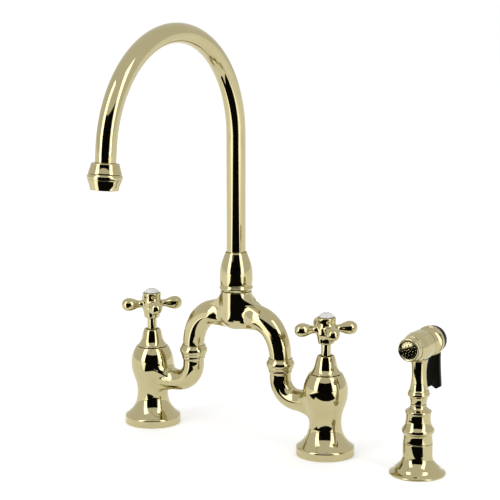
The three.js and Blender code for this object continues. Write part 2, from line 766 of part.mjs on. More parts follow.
// Centre line of the gooseneck from the swivel cup to the outlet collar.
function neckStations(radius, bottom, seat) {
  const turn = THREE.MathUtils.degToRad(NECK_TURN);
  const round = bend([-NECK_BEND, COLUMN_TOP], [NECK_BEND, NECK_BEND], 0, turn, NECK_STEPS);
  const last = round[round.length - 1];
  const drop = TIP_DROP - seat;
  const heading = new THREE.Vector2(...last.heading).normalize();
  const end = new THREE.Vector2(...last.place).addScaledVector(heading, drop);
  const stations = [
    { place: [0, bottom], heading: [0, 1] },
    ...round,
    { place: end.toArray(), heading: heading.toArray() },
  ];
  return stations.map((station) => ({ ...station, radius }));
}

// Bent spout tube, open at both ends.
function spoutTube() {
  const seat = TUBE_SEAT + GAP;
  const outer = tube(neckStations(TUBE_RADIUS, TUBE_BOTTOM, seat), "y", WIDE);
  const inner = tube(neckStations(TUBE_BORE, TUBE_BOTTOM - THROUGH, seat - THROUGH), "y", SMALL);
  return outer.subtract(inner);
}

// Swivel shank: a cup round the tube and a grooved spigot in the trunk.
function spoutShank() {
  const cupBottom = SPIGOT_TOP + GAP;
  const cupFloor = TUBE_BOTTOM - GAP;
  return turned(
    outlineOf(
      [[SWIVEL_BORE, SWIVEL_BOTTOM], [SWIVEL_RADIUS, SWIVEL_BOTTOM]],
      [[SWIVEL_RADIUS, LOWER_GROOVE - GROOVE_HALF], [GROOVE_RADIUS, LOWER_GROOVE - GROOVE_HALF]],
      [[GROOVE_RADIUS, LOWER_GROOVE + GROOVE_HALF], [SWIVEL_RADIUS, LOWER_GROOVE + GROOVE_HALF]],
      [[SWIVEL_RADIUS, UPPER_GROOVE - GROOVE_HALF], [GROOVE_RADIUS, UPPER_GROOVE - GROOVE_HALF]],
      [[GROOVE_RADIUS, UPPER_GROOVE + GROOVE_HALF], [SWIVEL_RADIUS, UPPER_GROOVE + GROOVE_HALF]],
      [[SWIVEL_RADIUS, cupBottom], [CUP_RADIUS, cupBottom], [CUP_RADIUS, CUP_TOP]],
      [[TUBE_RADIUS + GAP, CUP_TOP], [TUBE_RADIUS + GAP, cupFloor], [SWIVEL_BORE, cupFloor]],
    ),
  );
}

// Rubber ring with a round section, centred at a height.
function oRing(height) {
  const middle = (TRUNK_BORE + GROOVE_RADIUS) / 2;
  const section = [];
  for (let corner = 0; corner < WIRE_SIDES; corner += 1) {
    const angle = (2 * Math.PI * corner) / WIRE_SIDES;
    section.push([middle + O_RING_WIRE * Math.cos(angle), height + O_RING_WIRE * Math.sin(angle)]);
  }
  return turned(section);
}

// Cage in the trunk that sends the water to the spout or to the sprayer.
function diverterHousing() {
  return turned([
    [POPPET_STEM + RUNNING, DIVERTER_BOTTOM],
    [DIVERTER_RADIUS, DIVERTER_BOTTOM],
    [DIVERTER_RADIUS, DIVERTER_TOP],
    [DIVERTER_BORE, DIVERTER_TOP],
    [DIVERTER_BORE, DIVERTER_FLOOR],
    [POPPET_STEM + RUNNING, DIVERTER_FLOOR],
  ]).subtract(crossBar(DIVERTER_WINDOW, 2 * TRUNK_RADIUS, 0, ARM_HEIGHT + THROUGH));
}

// Mushroom-shaped valve that lifts in the cage.
function diverterPoppet() {
  const headBottom = DIVERTER_FLOOR + GAP;
  return turned(
    [
      [0, DIVERTER_BOTTOM + GAP],
      [POPPET_STEM, DIVERTER_BOTTOM + GAP],
      [POPPET_STEM, headBottom],
      [POPPET_RADIUS, headBottom],
      [POPPET_RADIUS, headBottom + POPPET_HEAD],
      [0, headBottom + POPPET_HEAD],
    ],
    MIDDLE,
  );
}

// Turned collar at the spout's end, with the thread that holds the aerator.
function outletCollar() {
  const bottom = OUTLET_SEAM + GAP;
  const shelf = [COLLAR_SHELF_RADIUS, COLLAR_SHELF_HEIGHT];
  return turned(
    outlineOf(
      [[OUTLET_WAY, OUTLET_SPIGOT_BOTTOM], [OUTLET_SPIGOT, OUTLET_SPIGOT_BOTTOM], [OUTLET_SPIGOT, bottom]],
      flow([OUTLET_SEAM_RADIUS, bottom], shelf, OUTLET_SEAM_LEAN, COLLAR_SHELF_LEAN, ROUNDING),
      dome(shelf, [OUTLET_TOP_RADIUS, OUTLET_TOP], ROUNDING),
      [[TUBE_RADIUS + GAP, OUTLET_TOP], [TUBE_RADIUS + GAP, TUBE_SEAT], [OUTLET_WAY, TUBE_SEAT]],
    ),
  );
}

// Housing that screws up on the collar and holds the flow screen.
function aeratorHousing() {
  const bead = [OUTLET_BEAD, OUTLET_BEAD_HEIGHT];
  return turned(
    outlineOf(
      [[OUTLET_LIP_BORE, 0], [OUTLET_RADIUS, 0]],
      flow([OUTLET_NECK_RADIUS, OUTLET_NECK], bead, OUTLET_NECK_LEAN, 0, ROUNDING),
      flow(bead, [OUTLET_SEAM_RADIUS, OUTLET_SEAM], 0, OUTLET_SEAM_LEAN, ROUNDING),
      [[OUTLET_BORE, OUTLET_SEAM], [OUTLET_BORE, OUTLET_LIP], [OUTLET_LIP_BORE, OUTLET_LIP]],
    ),
  );
}

// Flow screen with a middle hole and a ring of holes.
function aeratorScreen() {
  const bottom = OUTLET_LIP + GAP;
  const top = bottom + SCREEN_THICKNESS;
  const hole = bar(SCREEN_HOLE, bottom - THROUGH, top + THROUGH, HOLE_SIDES);
  let screen = bar(OUTLET_BORE - GAP, bottom, top).subtract(hole);
  for (let index = 0; index < SCREEN_HOLES; index += 1) {
    const turn = (360 * index) / SCREEN_HOLES;
    screen = screen.subtract(hole.translate([SCREEN_RING, 0, 0]).rotate([0, 0, turn]));
  }
  return screen;
}

// Flat washer between the screen and the collar.
function aeratorWasher() {
  const bottom = OUTLET_LIP + SCREEN_THICKNESS + 2 * GAP;
  return ring(OUTLET_BORE - GAP, OUTLET_WASHER_BORE, bottom, bottom + OUTLET_WASHER_THICKNESS, MIDDLE);
}

// Cone that screws into the valve body round the stem.
function bonnetCone() {
  const top = [CONE_TOP_RADIUS, CONE_TOP];
  const recessFloor = CONE_TOP - CONE_RECESS_DEPTH;
  return turned(
    outlineOf(
      [[CONE_BORE, CONE_SKIRT_BOTTOM], [CONE_SKIRT_RADIUS, CONE_SKIRT_BOTTOM]],
      [[CONE_SKIRT_RADIUS, CONE_FOOT]],
      flow([CONE_FOOT_RADIUS, CONE_FOOT], top, CONE_FOOT_LEAN, CONE_TOP_LEAN, ROUNDING),
      [[CONE_RECESS_RADIUS, CONE_TOP], [CONE_RECESS_RADIUS, recessFloor]],
      [[STEM_NECK_RADIUS + GAP, recessFloor], [STEM_NECK_RADIUS + GAP, CONE_BORE_TOP]],
      [[CONE_BORE, CONE_BORE_TOP]],
    ),
    MIDDLE,
  );
}

// Brass cartridge body with its side windows.
function cartridgeBody() {
  const bottom = CHAMBER_FLOOR + GAP;
  return turned(
    [
      [CARTRIDGE_BORE, bottom + SEAT_SEAL_THICKNESS + GAP],
      [CARTRIDGE_RADIUS, bottom + SEAT_SEAL_THICKNESS + GAP],
      [CARTRIDGE_RADIUS, CARTRIDGE_NECK_BASE],
      [CARTRIDGE_NECK_RADIUS, CARTRIDGE_NECK_BASE],
      [CARTRIDGE_NECK_RADIUS, CARTRIDGE_TOP],
      [STEM_SHAFT_RADIUS + RUNNING, CARTRIDGE_TOP],
      [STEM_SHAFT_RADIUS + RUNNING, CARTRIDGE_SHOULDER],
      [CARTRIDGE_BORE, CARTRIDGE_SHOULDER],
    ],
    MIDDLE,
  ).subtract(crossBar(CARTRIDGE_WINDOW, 2 * CHAMBER_RADIUS, 0, ELBOW_HEIGHT + THROUGH));
}

// Rubber ring between the chamber's floor and the cartridge.
function cartridgeSeal() {
  const bottom = CHAMBER_FLOOR + GAP;
  return ring(SEAT_SEAL_RADIUS, SEAT_SEAL_BORE, bottom, bottom + SEAT_SEAL_THICKNESS, SMALL);
}

// Height of the lower disc's underside.

// Ceramic disc with two ports, a port being open where two discs line up.
function ceramicDisc(bottom, turn) {
  const top = bottom + DISC_THICKNESS;
  const port = bar(DISC_PORT, bottom - THROUGH, top + THROUGH, SMALL);
  return bar(DISC_RADIUS, bottom, top, MIDDLE)
    .subtract(port.translate([DISC_PORT_OFFSET, 0, 0]))
    .subtract(port.translate([-DISC_PORT_OFFSET, 0, 0]))
    .rotate([0, 0, turn]);
}

// Valve stem: flange on the discs, shaft, visible neck and splined end.
function valveStem() {
  const bottom = DISC_BOTTOM + 2 * (DISC_THICKNESS + GAP);
  const neckBottom = CONE_BORE_TOP + GAP;
  const neckTop = HUB_BOTTOM - GAP;
  return turned(
    [
      [0, bottom],
      [STEM_FLANGE_RADIUS, bottom],
      [STEM_FLANGE_RADIUS, bottom + STEM_FLANGE_THICKNESS],
      [STEM_SHAFT_RADIUS, bottom + STEM_FLANGE_THICKNESS],
      [STEM_SHAFT_RADIUS, neckBottom],
      [STEM_NECK_RADIUS, neckBottom],
      [STEM_NECK_RADIUS, neckTop],
      [STEM_SPLINE_RADIUS, neckTop],
      [STEM_SPLINE_RADIUS, STEM_TOP],
      [SCREW_HOLE_RADIUS, STEM_TOP],
      [SCREW_HOLE_RADIUS, STEM_TOP - SCREW_HOLE_DEPTH],
      [0, STEM_TOP - SCREW_HOLE_DEPTH],
    ],
    MIDDLE,
  );
}

// One arm of the cross handle, turned about its own axis.
function handleArm() {
  return turned(
    outlineOf(
      [[0, HANDLE_ARM_ROOT], [HANDLE_ARM_NECK_RADIUS, HANDLE_ARM_ROOT]],
      flow(
        [HANDLE_ARM_NECK_RADIUS, HANDLE_ARM_NECK],
        [HANDLE_ARM_SWELL_RADIUS, HANDLE_ARM_SWELL],
        0,
        0,
        ROUNDING + 1,
      ),
      dome([HANDLE_ARM_SWELL_RADIUS, HANDLE_ARM_SWELL], [0, HANDLE_ARM_END], ROUNDING + 1),
    ),
    SMALL,
  )
    .rotate([0, 90, 0])
    .translate([0, 0, HANDLE_ARM_HEIGHT]);
}

// Cross handle with its socket, screw well and button cup.
function crossHandle() {
  const arm = handleArm();
  let handle = turned(
    outlineOf(
      [[0, HUB_BOTTOM]],
      bowl([HUB_FOOT_RADIUS, HUB_BOTTOM], [HUB_NECK_RADIUS, HUB_NECK_HEIGHT]),
      flow([HUB_NECK_RADIUS, HUB_NECK_HEIGHT], [HUB_BALL_RADIUS, HUB_BALL_HEIGHT]),
      flow([HUB_BALL_RADIUS, HUB_BALL_HEIGHT], [HUB_WAIST_RADIUS, HUB_WAIST_HEIGHT], 0, 0, ROUNDING),
      flow([HUB_WAIST_RADIUS, HUB_WAIST_HEIGHT], [HUB_RIM_RADIUS, HUB_RIM_HEIGHT], 0, 0, 2),
      dome([HUB_RIM_RADIUS, HUB_RIM_HEIGHT], [HUB_TOP_RADIUS, HUB_TOP], 2),
      [[0, HUB_TOP]],
    ),
    MIDDLE,
  );
  for (let index = 0; index < HANDLE_ARMS; index += 1) {
    const turn = HANDLE_ARM_TURN + (360 * index) / HANDLE_ARMS;
    handle = handle.add(arm.rotate([0, 0, turn]));
  }
  return handle
    .subtract(bar(STEM_SPLINE_RADIUS + GAP, HUB_BOTTOM - THROUGH, HUB_SOCKET_TOP, SMALL))
    .subtract(bar(SCREW_CLEARANCE_RADIUS, HUB_BOTTOM, HUB_TOP, SMALL))
    .subtract(bar(HUB_WELL_RADIUS, HUB_SEAT, HUB_TOP, SMALL))
    .subtract(bar(HUB_CUP_RADIUS, HUB_CUP_FLOOR, HUB_TOP + THROUGH, MIDDLE));
}

// Slotted screw that holds the handle on the stem.
function handleScrew() {
  const headBottom = HUB_SEAT + GAP;
  const headTop = headBottom + SCREW_HEAD_THICKNESS;
  return bar(SCREW_HEAD_RADIUS, headBottom, headTop, SMALL)
    .add(bar(SCREW_RADIUS, STEM_TOP - SCREW_HOLE_DEPTH + GAP, headTop - SCREW_SLOT, SMALL))
    .subtract(
      block(
        [-SCREW_HEAD_RADIUS - THROUGH, -SCREW_SLOT / 2, headTop - SCREW_SLOT],
        [SCREW_HEAD_RADIUS + THROUGH, SCREW_SLOT / 2, headTop + THROUGH],
      ),
    );
}

// White button: a plug in the handle's cup with a domed top.
function indexButton() {
  return turned(
    outlineOf(
      [[0, HUB_CUP_FLOOR + GAP], [BUTTON_RADIUS, HUB_CUP_FLOOR + GAP]],
      dome([BUTTON_RADIUS, BUTTON_EDGE], [0, BUTTON_TOP], CURVE),
    ),
    MIDDLE,
  );
}

// Threaded shank that hangs the valve in its deck hole.
function mountingShank() {
  return ring(SHANK_RADIUS, INLET_RADIUS, SHANK_BOTTOM, SOCKET_DEPTH - GAP, MIDDLE);
}

// Ring in the underside of a flange.
function deckGasket(outer, inner) {
  return ring(outer, inner, 0, GASKET_THICKNESS, WIDE);
}

// Washer under the counter.
function deckWasher(outer, shank, sides) {
  return ring(outer, shank + GAP, -COUNTER_DEPTH - WASHER_THICKNESS, -COUNTER_DEPTH, sides);
}

// Six-sided nut under the washer.
function lockNut(reach, height, shank, sides) {
  const top = -COUNTER_DEPTH - WASHER_THICKNESS - GAP;
  return bar(reach, top - height, top, NUT_SIDES).subtract(
    bar(shank + GAP, top - height - THROUGH, top + THROUGH, sides),
  );
}

// Flanged holder with its shank below the deck.
function sprayerHolder() {
  return turned(
    outlineOf(
      [[0, HOLDER_SHANK_BOTTOM], [HOLDER_SHANK, HOLDER_SHANK_BOTTOM], [HOLDER_SHANK, GASKET_THICKNESS + GAP]],
      [[HOLDER_GASKET_RADIUS + GAP, GASKET_THICKNESS + GAP], [HOLDER_GASKET_RADIUS + GAP, 0]],
      flow([HOLDER_FLANGE, 0], [HOLDER_STEP_RADIUS, HOLDER_STEP], HOLDER_LEAN, HOLDER_STEP_LEAN, 2),
      flow([HOLDER_STEP_RADIUS, HOLDER_STEP], [HOLDER_WAIST, HOLDER_WAIST_HEIGHT], HOLDER_LEAN, 0, CURVE + 1),
      [[HOLDER_WAIST, HOLDER_TOP], [0, HOLDER_TOP]],
    ),
  )
    .subtract(bar(HOLDER_BORE, HOLDER_SHANK_BOTTOM - THROUGH, HOLDER_TOP, MIDDLE))
    .subtract(bar(HOLDER_SOCKET, HOLDER_SOCKET_FLOOR, HOLDER_TOP + THROUGH, MIDDLE));
}

// Plastic liner that the sprayer's tail stands in.
function holderLiner() {
  return ring(LINER_RADIUS, LINER_BORE, HOLDER_SOCKET_FLOOR + GAP, HOLDER_TOP, MIDDLE);
}

// Turned grip of the sprayer with the tail that stands in the holder.
function sprayerGrip() {
  const bead = [GRIP_BEAD_RADIUS, GRIP_BEAD_HEIGHT];
  const waist = [GRIP_WAIST_RADIUS, GRIP_WAIST_HEIGHT];
  return turned(
    outlineOf(
      [[0, GRIP_TAIL_BOTTOM], [GRIP_TAIL_RADIUS, GRIP_TAIL_BOTTOM], [GRIP_TAIL_RADIUS, GRIP_FOOT]],
      flow([GRIP_FOOT_RADIUS, GRIP_FOOT], [GRIP_COVE_RADIUS, GRIP_COVE_HEIGHT], 0, 0, 2),
      flow([GRIP_COVE_RADIUS, GRIP_COVE_HEIGHT], bead, 0, 0, ROUNDING),
      flow(bead, waist, GRIP_BEAD_LEAN, 0, CURVE),
      flow(waist, [GRIP_RIM_RADIUS, GRIP_RIM_HEIGHT], 0, 0, ROUNDING),
      flow([GRIP_RIM_RADIUS, GRIP_RIM_HEIGHT], [GRIP_TOP_RADIUS, GRIP_TOP], GRIP_RIM_LEAN, 0, CURVE),
      [[0, GRIP_TOP]],
    ),
  )
    .subtract(bar(GRIP_WAY, GRIP_TAIL_BOTTOM - THROUGH, GRIP_TOP, SMALL))
    .subtract(bar(GRIP_SOCKET, GRIP_SOCKET_FLOOR, GRIP_TOP + THROUGH, MIDDLE));
}

// Hose coupling whose spigot turns in the grip's tail.
function hoseCoupling() {
  const shoulder = GRIP_TAIL_BOTTOM - GAP;
  return turned(
    [
      [COUPLING_WAY, COUPLING_BOTTOM],
      [COUPLING_RADIUS, COUPLING_BOTTOM],
      [COUPLING_RADIUS, shoulder],
      [COUPLING_SPIGOT, shoulder],
      [COUPLING_SPIGOT, COUPLING_SPIGOT_TOP],
      [COUPLING_WAY, COUPLING_SPIGOT_TOP],
    ],
    MIDDLE,
  );
}

// Outside of the sprayer's neck, up into the barrel.
function neckOutline() {
  const shelf = [NECK_SHELF_RADIUS, NECK_SHELF_HEIGHT];
  const thin = [NECK_THIN_RADIUS, NECK_THIN_HEIGHT];
  return outlineOf(
    [[0, NECK_SPIGOT_BOTTOM], [NECK_SPIGOT, NECK_SPIGOT_BOTTOM], [NECK_SPIGOT, NECK_BOTTOM]],
    flow([GRIP_TOP_RADIUS, NECK_BOTTOM], [NECK_RING_RADIUS, NECK_RING_HEIGHT], 0, NECK_RING_LEAN, ROUNDING),
    flow([NECK_RING_RADIUS, NECK_RING_HEIGHT], shelf, 0, NECK_SHELF_LEAN, ROUNDING),
    flow(shelf, thin, NECK_SHELF_LEAN, 0, ROUNDING),
    flow(thin, [NECK_FLARE_RADIUS, NECK_FLARE_HEIGHT], 0, NECK_FLARE_LEAN, ROUNDING),
    [[NECK_FLARE_RADIUS, BARREL_HEIGHT], [0, BARREL_HEIGHT]],
  );
}

// Outside of the sprayer's barrel, from its rear flange to its front.
function barrelOutline() {
  const groove = [BARREL_GROOVE_RADIUS, BARREL_GROOVE];
  const nose = [BARREL_FRONT_RADIUS, BARREL_FRONT];
  return outlineOf(
    [[0, BARREL_REAR], [BARREL_FLANGE_RADIUS, BARREL_REAR]],
    flow([BARREL_FLANGE_RADIUS, BARREL_FLANGE], groove, BARREL_FLANGE_LEAN, 0, ROUNDING),
    flow(groove, [BARREL_BELLY_RADIUS, BARREL_BELLY], 0, BARREL_BELLY_LEAN, ROUNDING),
    flow([BARREL_BELLY_RADIUS, -BARREL_BELLY], nose, 0, BARREL_FRONT_LEAN, CURVE),
    [[0, BARREL_FRONT]],
  );
}

// Sprayer head: neck and barrel in one, with the water way and the valve's bores.
function sprayerHead() {
  const bores = [
    bar(BARREL_FACE_BORE, BARREL_FACE_SHELF, BARREL_FRONT + THROUGH, MIDDLE),
    bar(BARREL_CHAMBER, BARREL_REAR_SHELF - THROUGH, BARREL_FACE_SHELF + THROUGH, MIDDLE),
    bar(BARREL_REAR_BORE, BARREL_REAR, BARREL_REAR_SHELF, MIDDLE),
    bar(BARREL_COUNTERBORE, BARREL_REAR - THROUGH, BARREL_COUNTERBORE_SHELF, MIDDLE),
  ];
  const outside = turned(neckOutline(), MIDDLE).add(forward(turned(barrelOutline())));
  const hollowed = bores.reduce((body, bore) => body.subtract(forward(bore)), outside);
  return hollowed.subtract(bar(NECK_WAY, NECK_SPIGOT_BOTTOM - THROUGH, BARREL_HEIGHT, SMALL));
}

// Spray face with its recessed plate and ring of holes.
function sprayFace() {
  const plateRear = FACE_FRONT - FACE_RECESS - FACE_PLATE;
  const shelf = BARREL_FACE_SHELF + GAP;
  let face = turned(
    [
      [0, plateRear],
      [FACE_WAY, plateRear],
      [FACE_WAY, shelf],
      [FACE_SPIGOT, shelf],
      [FACE_SPIGOT, FACE_REAR],
      [FACE_RADIUS, FACE_REAR],
      [FACE_RADIUS, FACE_FRONT - FACE_RECESS],
      [FACE_EDGE_RADIUS, FACE_FRONT],
      [FACE_RECESS_RADIUS, FACE_FRONT],
      [FACE_RECESS_RADIUS, FACE_FRONT - FACE_RECESS],
      [0, FACE_FRONT - FACE_RECESS],
    ],
    MIDDLE,
  );
  const hole = bar(FACE_HOLE, plateRear - THROUGH, FACE_FRONT, HOLE_SIDES).translate([FACE_HOLE_RING, 0, 0]);
  for (let index = 0; index < FACE_HOLES; index += 1) {
    face = face.subtract(hole.rotate([0, 0, (360 * index) / FACE_HOLES]));
  }
  return forward(face);
}

// Black cap behind the barrel, slotted for the lever.
function rearCap() {
  const outside = turned(
    outlineOf(
      [[0, CAP_SPIGOT_FRONT], [CAP_SPIGOT, CAP_SPIGOT_FRONT], [CAP_SPIGOT, CAP_FLANGE_FRONT]],
      [[CAP_FLANGE_RADIUS, CAP_FLANGE_FRONT], [CAP_FLANGE_RADIUS, CAP_FRONT], [CAP_RADIUS, CAP_FRONT]],
      dome([CAP_RADIUS, CAP_REAR + CAP_ROUNDING], [CAP_RADIUS - CAP_ROUNDING, CAP_REAR], ROUNDING),
      [[0, CAP_REAR]],
    ),
  );
  const way = bar(CAP_WAY, CAP_FRONT - THROUGH, CAP_SPIGOT_FRONT + THROUGH, SMALL);
  const slot = block(
    [-CAP_SLOT_WIDTH / 2, -CAP_FRONT, BARREL_HEIGHT - CAP_RADIUS - THROUGH],
    [CAP_SLOT_WIDTH / 2, -CAP_FRONT + CAP_SLOT_DEPTH, CAP_SLOT_TOP],
  );
  return forward(outside.subtract(way))
    .subtract(slot)
    .subtract(crossBar(PIN_RADIUS + GAP, 2 * CAP_RADIUS, PIN_Y, PIN_HEIGHT));
}

// Front view of the lever: rounded top, wider foot with two lobes.
function leverShape() {
  const half = LEVER_WIDTH / 2;
  const foot = LEVER_FOOT_WIDTH / 2;
  const lobe = LEVER_BOTTOM + LEVER_LOBE;
  const shape = new THREE.Shape();
  shape.moveTo(-half, LEVER_TOP - LEVER_TOP_ROUNDING);
  shape.quadraticCurveTo(-half, LEVER_TOP, LEVER_TOP_ROUNDING - half, LEVER_TOP);
  shape.lineTo(half - LEVER_TOP_ROUNDING, LEVER_TOP);
  shape.quadraticCurveTo(half, LEVER_TOP, half, LEVER_TOP - LEVER_TOP_ROUNDING);
  shape.lineTo(half, LEVER_FLARE_HEIGHT);
  shape.lineTo(foot, lobe);
  shape.quadraticCurveTo(foot, LEVER_BOTTOM, foot / 2, LEVER_BOTTOM);
  shape.quadraticCurveTo(foot / 2, LEVER_BOTTOM, 0, lobe);
  shape.quadraticCurveTo(-foot / 2, LEVER_BOTTOM, -foot / 2, LEVER_BOTTOM);
  shape.quadraticCurveTo(-foot, LEVER_BOTTOM, -foot, lobe);
  shape.lineTo(-half, LEVER_FLARE_HEIGHT);
  return shape;
}

// Squeeze lever with the shallow channel down its back.
function squeezeLever() {
  const geometry = new THREE.ExtrudeGeometry(leverShape(), {
    depth: LEVER_THICKNESS,
    bevelEnabled: false,
    curveSegments: ROUNDING,
  });
  geometry.rotateX(Math.PI / 2);
  const rear = LEVER_FRONT_Y + LEVER_THICKNESS;
  const channel = block(
    [-LEVER_CHANNEL_WIDTH / 2, rear - LEVER_CHANNEL_DEPTH, LEVER_BOTTOM + LEVER_CHANNEL_MARGIN],
    [LEVER_CHANNEL_WIDTH / 2, rear + THROUGH, BARREL_HEIGHT - CAP_RADIUS - LEVER_CHANNEL_MARGIN],
  );
  return solid(geometry)
    .translate([0, rear, 0])
    .subtract(channel)
    .subtract(crossBar(PIN_RADIUS + GAP, 2 * CAP_RADIUS, PIN_Y, PIN_HEIGHT));
}

// Pin that the lever swings on.
function leverPin() {
  return crossBar(PIN_RADIUS, PIN_LENGTH, PIN_Y, PIN_HEIGHT);
}

// Plunger that the lever pushes forward.
function sprayerPlunger() {
  const chamfer = PLUNGER_RADIUS / 4;
  return forward(
    turned(
      [
        [0, PLUNGER_REAR],
        [PLUNGER_RADIUS - chamfer, PLUNGER_REAR],
        [PLUNGER_RADIUS, PLUNGER_REAR + chamfer],
        [PLUNGER_RADIUS, PLUNGER_HEAD_REAR],
        [PLUNGER_HEAD_RADIUS, PLUNGER_HEAD_REAR],
        [PLUNGER_HEAD_RADIUS, PLUNGER_HEAD_FRONT],
        [0, PLUNGER_HEAD_FRONT],
      ],
      MIDDLE,
    ),
  );
}

// Spring between the spray face and the plunger's head.
function plungerSpring() {
  const rear = PLUNGER_HEAD_FRONT + GAP;
  return forward(coil(SPRING_RADIUS, SPRING_WIRE, rear, BARREL_FACE_SHELF, SPRING_TURNS));
}

// Group of named pieces at a place.
function assembly(name, place, pieces) {
  const group = new THREE.Group();
  group.name = name;
  group.position.set(...place);
  group.add(...pieces);
  return group;
}

// Everything on one valve hole, on the left (-1) or the right (1).
function valve(prefix, side) {
  const turningBottom = DISC_BOTTOM + DISC_THICKNESS + GAP;
  const reach = [-side * (VALVE_X - UNION_X), 0, 0];
  return assembly(`${prefix}_valve`, [side * VALVE_X, 0, 0], [
    piece(`${prefix}_valve_body`, valveBody(side), BRASS),
    piece(`${prefix}_bonnet_cone`, bonnetCone(), BRASS),
    piece(`${prefix}_cartridge_body`, cartridgeBody(), INNER_BRASS),
    piece(`${prefix}_cartridge_seal`, cartridgeSeal(), RUBBER),
    piece(`${prefix}_fixed_disc`, ceramicDisc(DISC_BOTTOM, 0), CERAMIC),
    piece(`${prefix}_turning_disc`, ceramicDisc(turningBottom, 90), CERAMIC),
    piece(`${prefix}_valve_stem`, valveStem(), INNER_BRASS),
    piece(`${prefix}_cross_handle`, crossHandle(), BRASS),
    piece(`${prefix}_handle_screw`, handleScrew(), STEEL),
    piece(`${prefix}_index_button`, indexButton(), PORCELAIN),
    piece(`${prefix}_union_ring`, unionRing().translate(reach), BRASS),
    piece(`${prefix}_union_seal`, unionSeal().translate(reach), RUBBER),
    piece(`${prefix}_mounting_shank`, mountingShank(), INNER_BRASS),
    piece(`${prefix}_deck_gasket`, deckGasket(GASKET_RADIUS, GASKET_BORE), RUBBER),
    piece(`${prefix}_deck_washer`, deckWasher(WASHER_RADIUS, SHANK_RADIUS, MIDDLE), STEEL),
    piece(`${prefix}_lock_nut`, lockNut(NUT_REACH, NUT_HEIGHT, SHANK_RADIUS, MIDDLE), INNER_BRASS),
  ]);
}

// Pieces at the spout's end, on an axis that leans with the spout.
function outlet() {
  const turn = THREE.MathUtils.degToRad(NECK_TURN);
  const heading = new THREE.Vector2(-Math.sin(turn), Math.cos(turn));
  const bendReach = NECK_BEND * (Math.cos(turn) - 1);
  const bendEnd = new THREE.Vector2(bendReach, COLUMN_TOP + NECK_BEND * Math.sin(turn));
  const tip = bendEnd.addScaledVector(heading, TIP_DROP);
  const group = assembly("outlet", [0, tip.x, tip.y], [
    piece("outlet_collar", outletCollar(), BRASS),
    piece("aerator_housing", aeratorHousing(), BRASS),
    piece("aerator_screen", aeratorScreen(), NYLON),
    piece("aerator_washer", aeratorWasher(), RUBBER),
  ]);
  group.rotation.x = turn - Math.PI;
  return group;
}

// Swivelling spout with all that turns with it.
function spout() {
  return assembly("spout", [0, 0, 0], [
    piece("spout_tube", spoutTube(), BRASS),
    piece("spout_shank", spoutShank(), INNER_BRASS),
    piece("lower_o_ring", oRing(LOWER_GROOVE), RUBBER),
    piece("upper_o_ring", oRing(UPPER_GROOVE), RUBBER),
    outlet(),
  ]);
}

// Bridge with the bonnet, glide ring and diverter in its trunk.
function bridge() {
  const glideBottom = CUP_TOP + GAP;
  const glide = ring(CUP_RADIUS, TUBE_RADIUS + GAP, glideBottom, glideBottom + GLIDE_THICKNESS);
  return assembly("bridge", [0, 0, 0], [
    piece("bridge_body", bridgeBody(), BRASS),
    piece("spout_bonnet", spoutBonnet(), BRASS),
    piece("glide_ring", glide, NYLON),
    piece("diverter_housing", diverterHousing(), NYLON),
    piece("diverter_poppet", diverterPoppet(), INNER_BRASS),
  ]);
}

// Side sprayer and its deck holder.
function sprayer() {
  return assembly("sprayer", [SPRAYER_X, SPRAYER_Y, 0], [
    piece("sprayer_holder", sprayerHolder(), BRASS),
    piece("holder_liner", holderLiner(), NYLON),
    piece("holder_gasket", deckGasket(HOLDER_GASKET_RADIUS, HOLDER_GASKET_BORE), RUBBER),
    piece("holder_washer", deckWasher(HOLDER_WASHER_RADIUS, HOLDER_SHANK, WIDE), STEEL),
    piece("holder_nut", lockNut(HOLDER_NUT_REACH, HOLDER_NUT_HEIGHT, HOLDER_SHANK, WIDE), INNER_BRASS),
    piece("hose_coupling", hoseCoupling(), INNER_BRASS),
    piece("sprayer_grip", sprayerGrip(), BRASS),
    piece("sprayer_head", sprayerHead(), BRASS),
    piece("spray_face", sprayFace(), BRASS),
    piece("rear_cap", rearCap(), BLACK_PLASTIC),
    piece("squeeze_lever", squeezeLever(), BLACK_PLASTIC),
    piece("lever_pin", leverPin(), STEEL),
    piece("sprayer_plunger", sprayerPlunger(), INNER_BRASS),
    piece("plunger_spring", plungerSpring(), STEEL),
  ]);
}

const faucet = assembly("bridge_faucet", [0, 0, 0], [
  bridge(),
  spout(),
  valve("left", -1),
  valve("right", 1),
  sprayer(),
]);

export default faucet;
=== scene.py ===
"""Bridge kitchen faucet in polished brass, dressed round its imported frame.

All sizes are in millimetres in the frame's own axes: X along the two valves, the
spout towards -Y, Z up, and the deck at zero. Meshes are written in metres.
"""

import json
import logging
import math
from dataclasses import dataclass
from enum import Enum
from typing import Callable, Iterable, Sequence

import bmesh
import bpy
from mathutils import Matrix, Vector


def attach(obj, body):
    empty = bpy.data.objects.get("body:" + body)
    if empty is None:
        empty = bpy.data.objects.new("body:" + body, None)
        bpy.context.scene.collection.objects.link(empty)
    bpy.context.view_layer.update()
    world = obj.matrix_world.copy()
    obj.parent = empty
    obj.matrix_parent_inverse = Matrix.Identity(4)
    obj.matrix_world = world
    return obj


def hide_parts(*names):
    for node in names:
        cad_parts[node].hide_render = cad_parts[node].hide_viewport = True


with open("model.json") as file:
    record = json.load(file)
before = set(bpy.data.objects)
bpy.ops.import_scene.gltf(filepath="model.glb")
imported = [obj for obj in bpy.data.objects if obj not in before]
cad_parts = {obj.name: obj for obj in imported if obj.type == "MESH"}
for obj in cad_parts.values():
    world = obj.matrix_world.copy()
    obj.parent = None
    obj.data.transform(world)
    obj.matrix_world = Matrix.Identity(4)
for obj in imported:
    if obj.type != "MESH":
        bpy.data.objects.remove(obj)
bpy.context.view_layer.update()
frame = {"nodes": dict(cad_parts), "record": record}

LOG = logging.getLogger("bridge_faucet")
MM = 0.001
JOIN = 1e-6
NEAR = 0.002
STILL = 1e-6
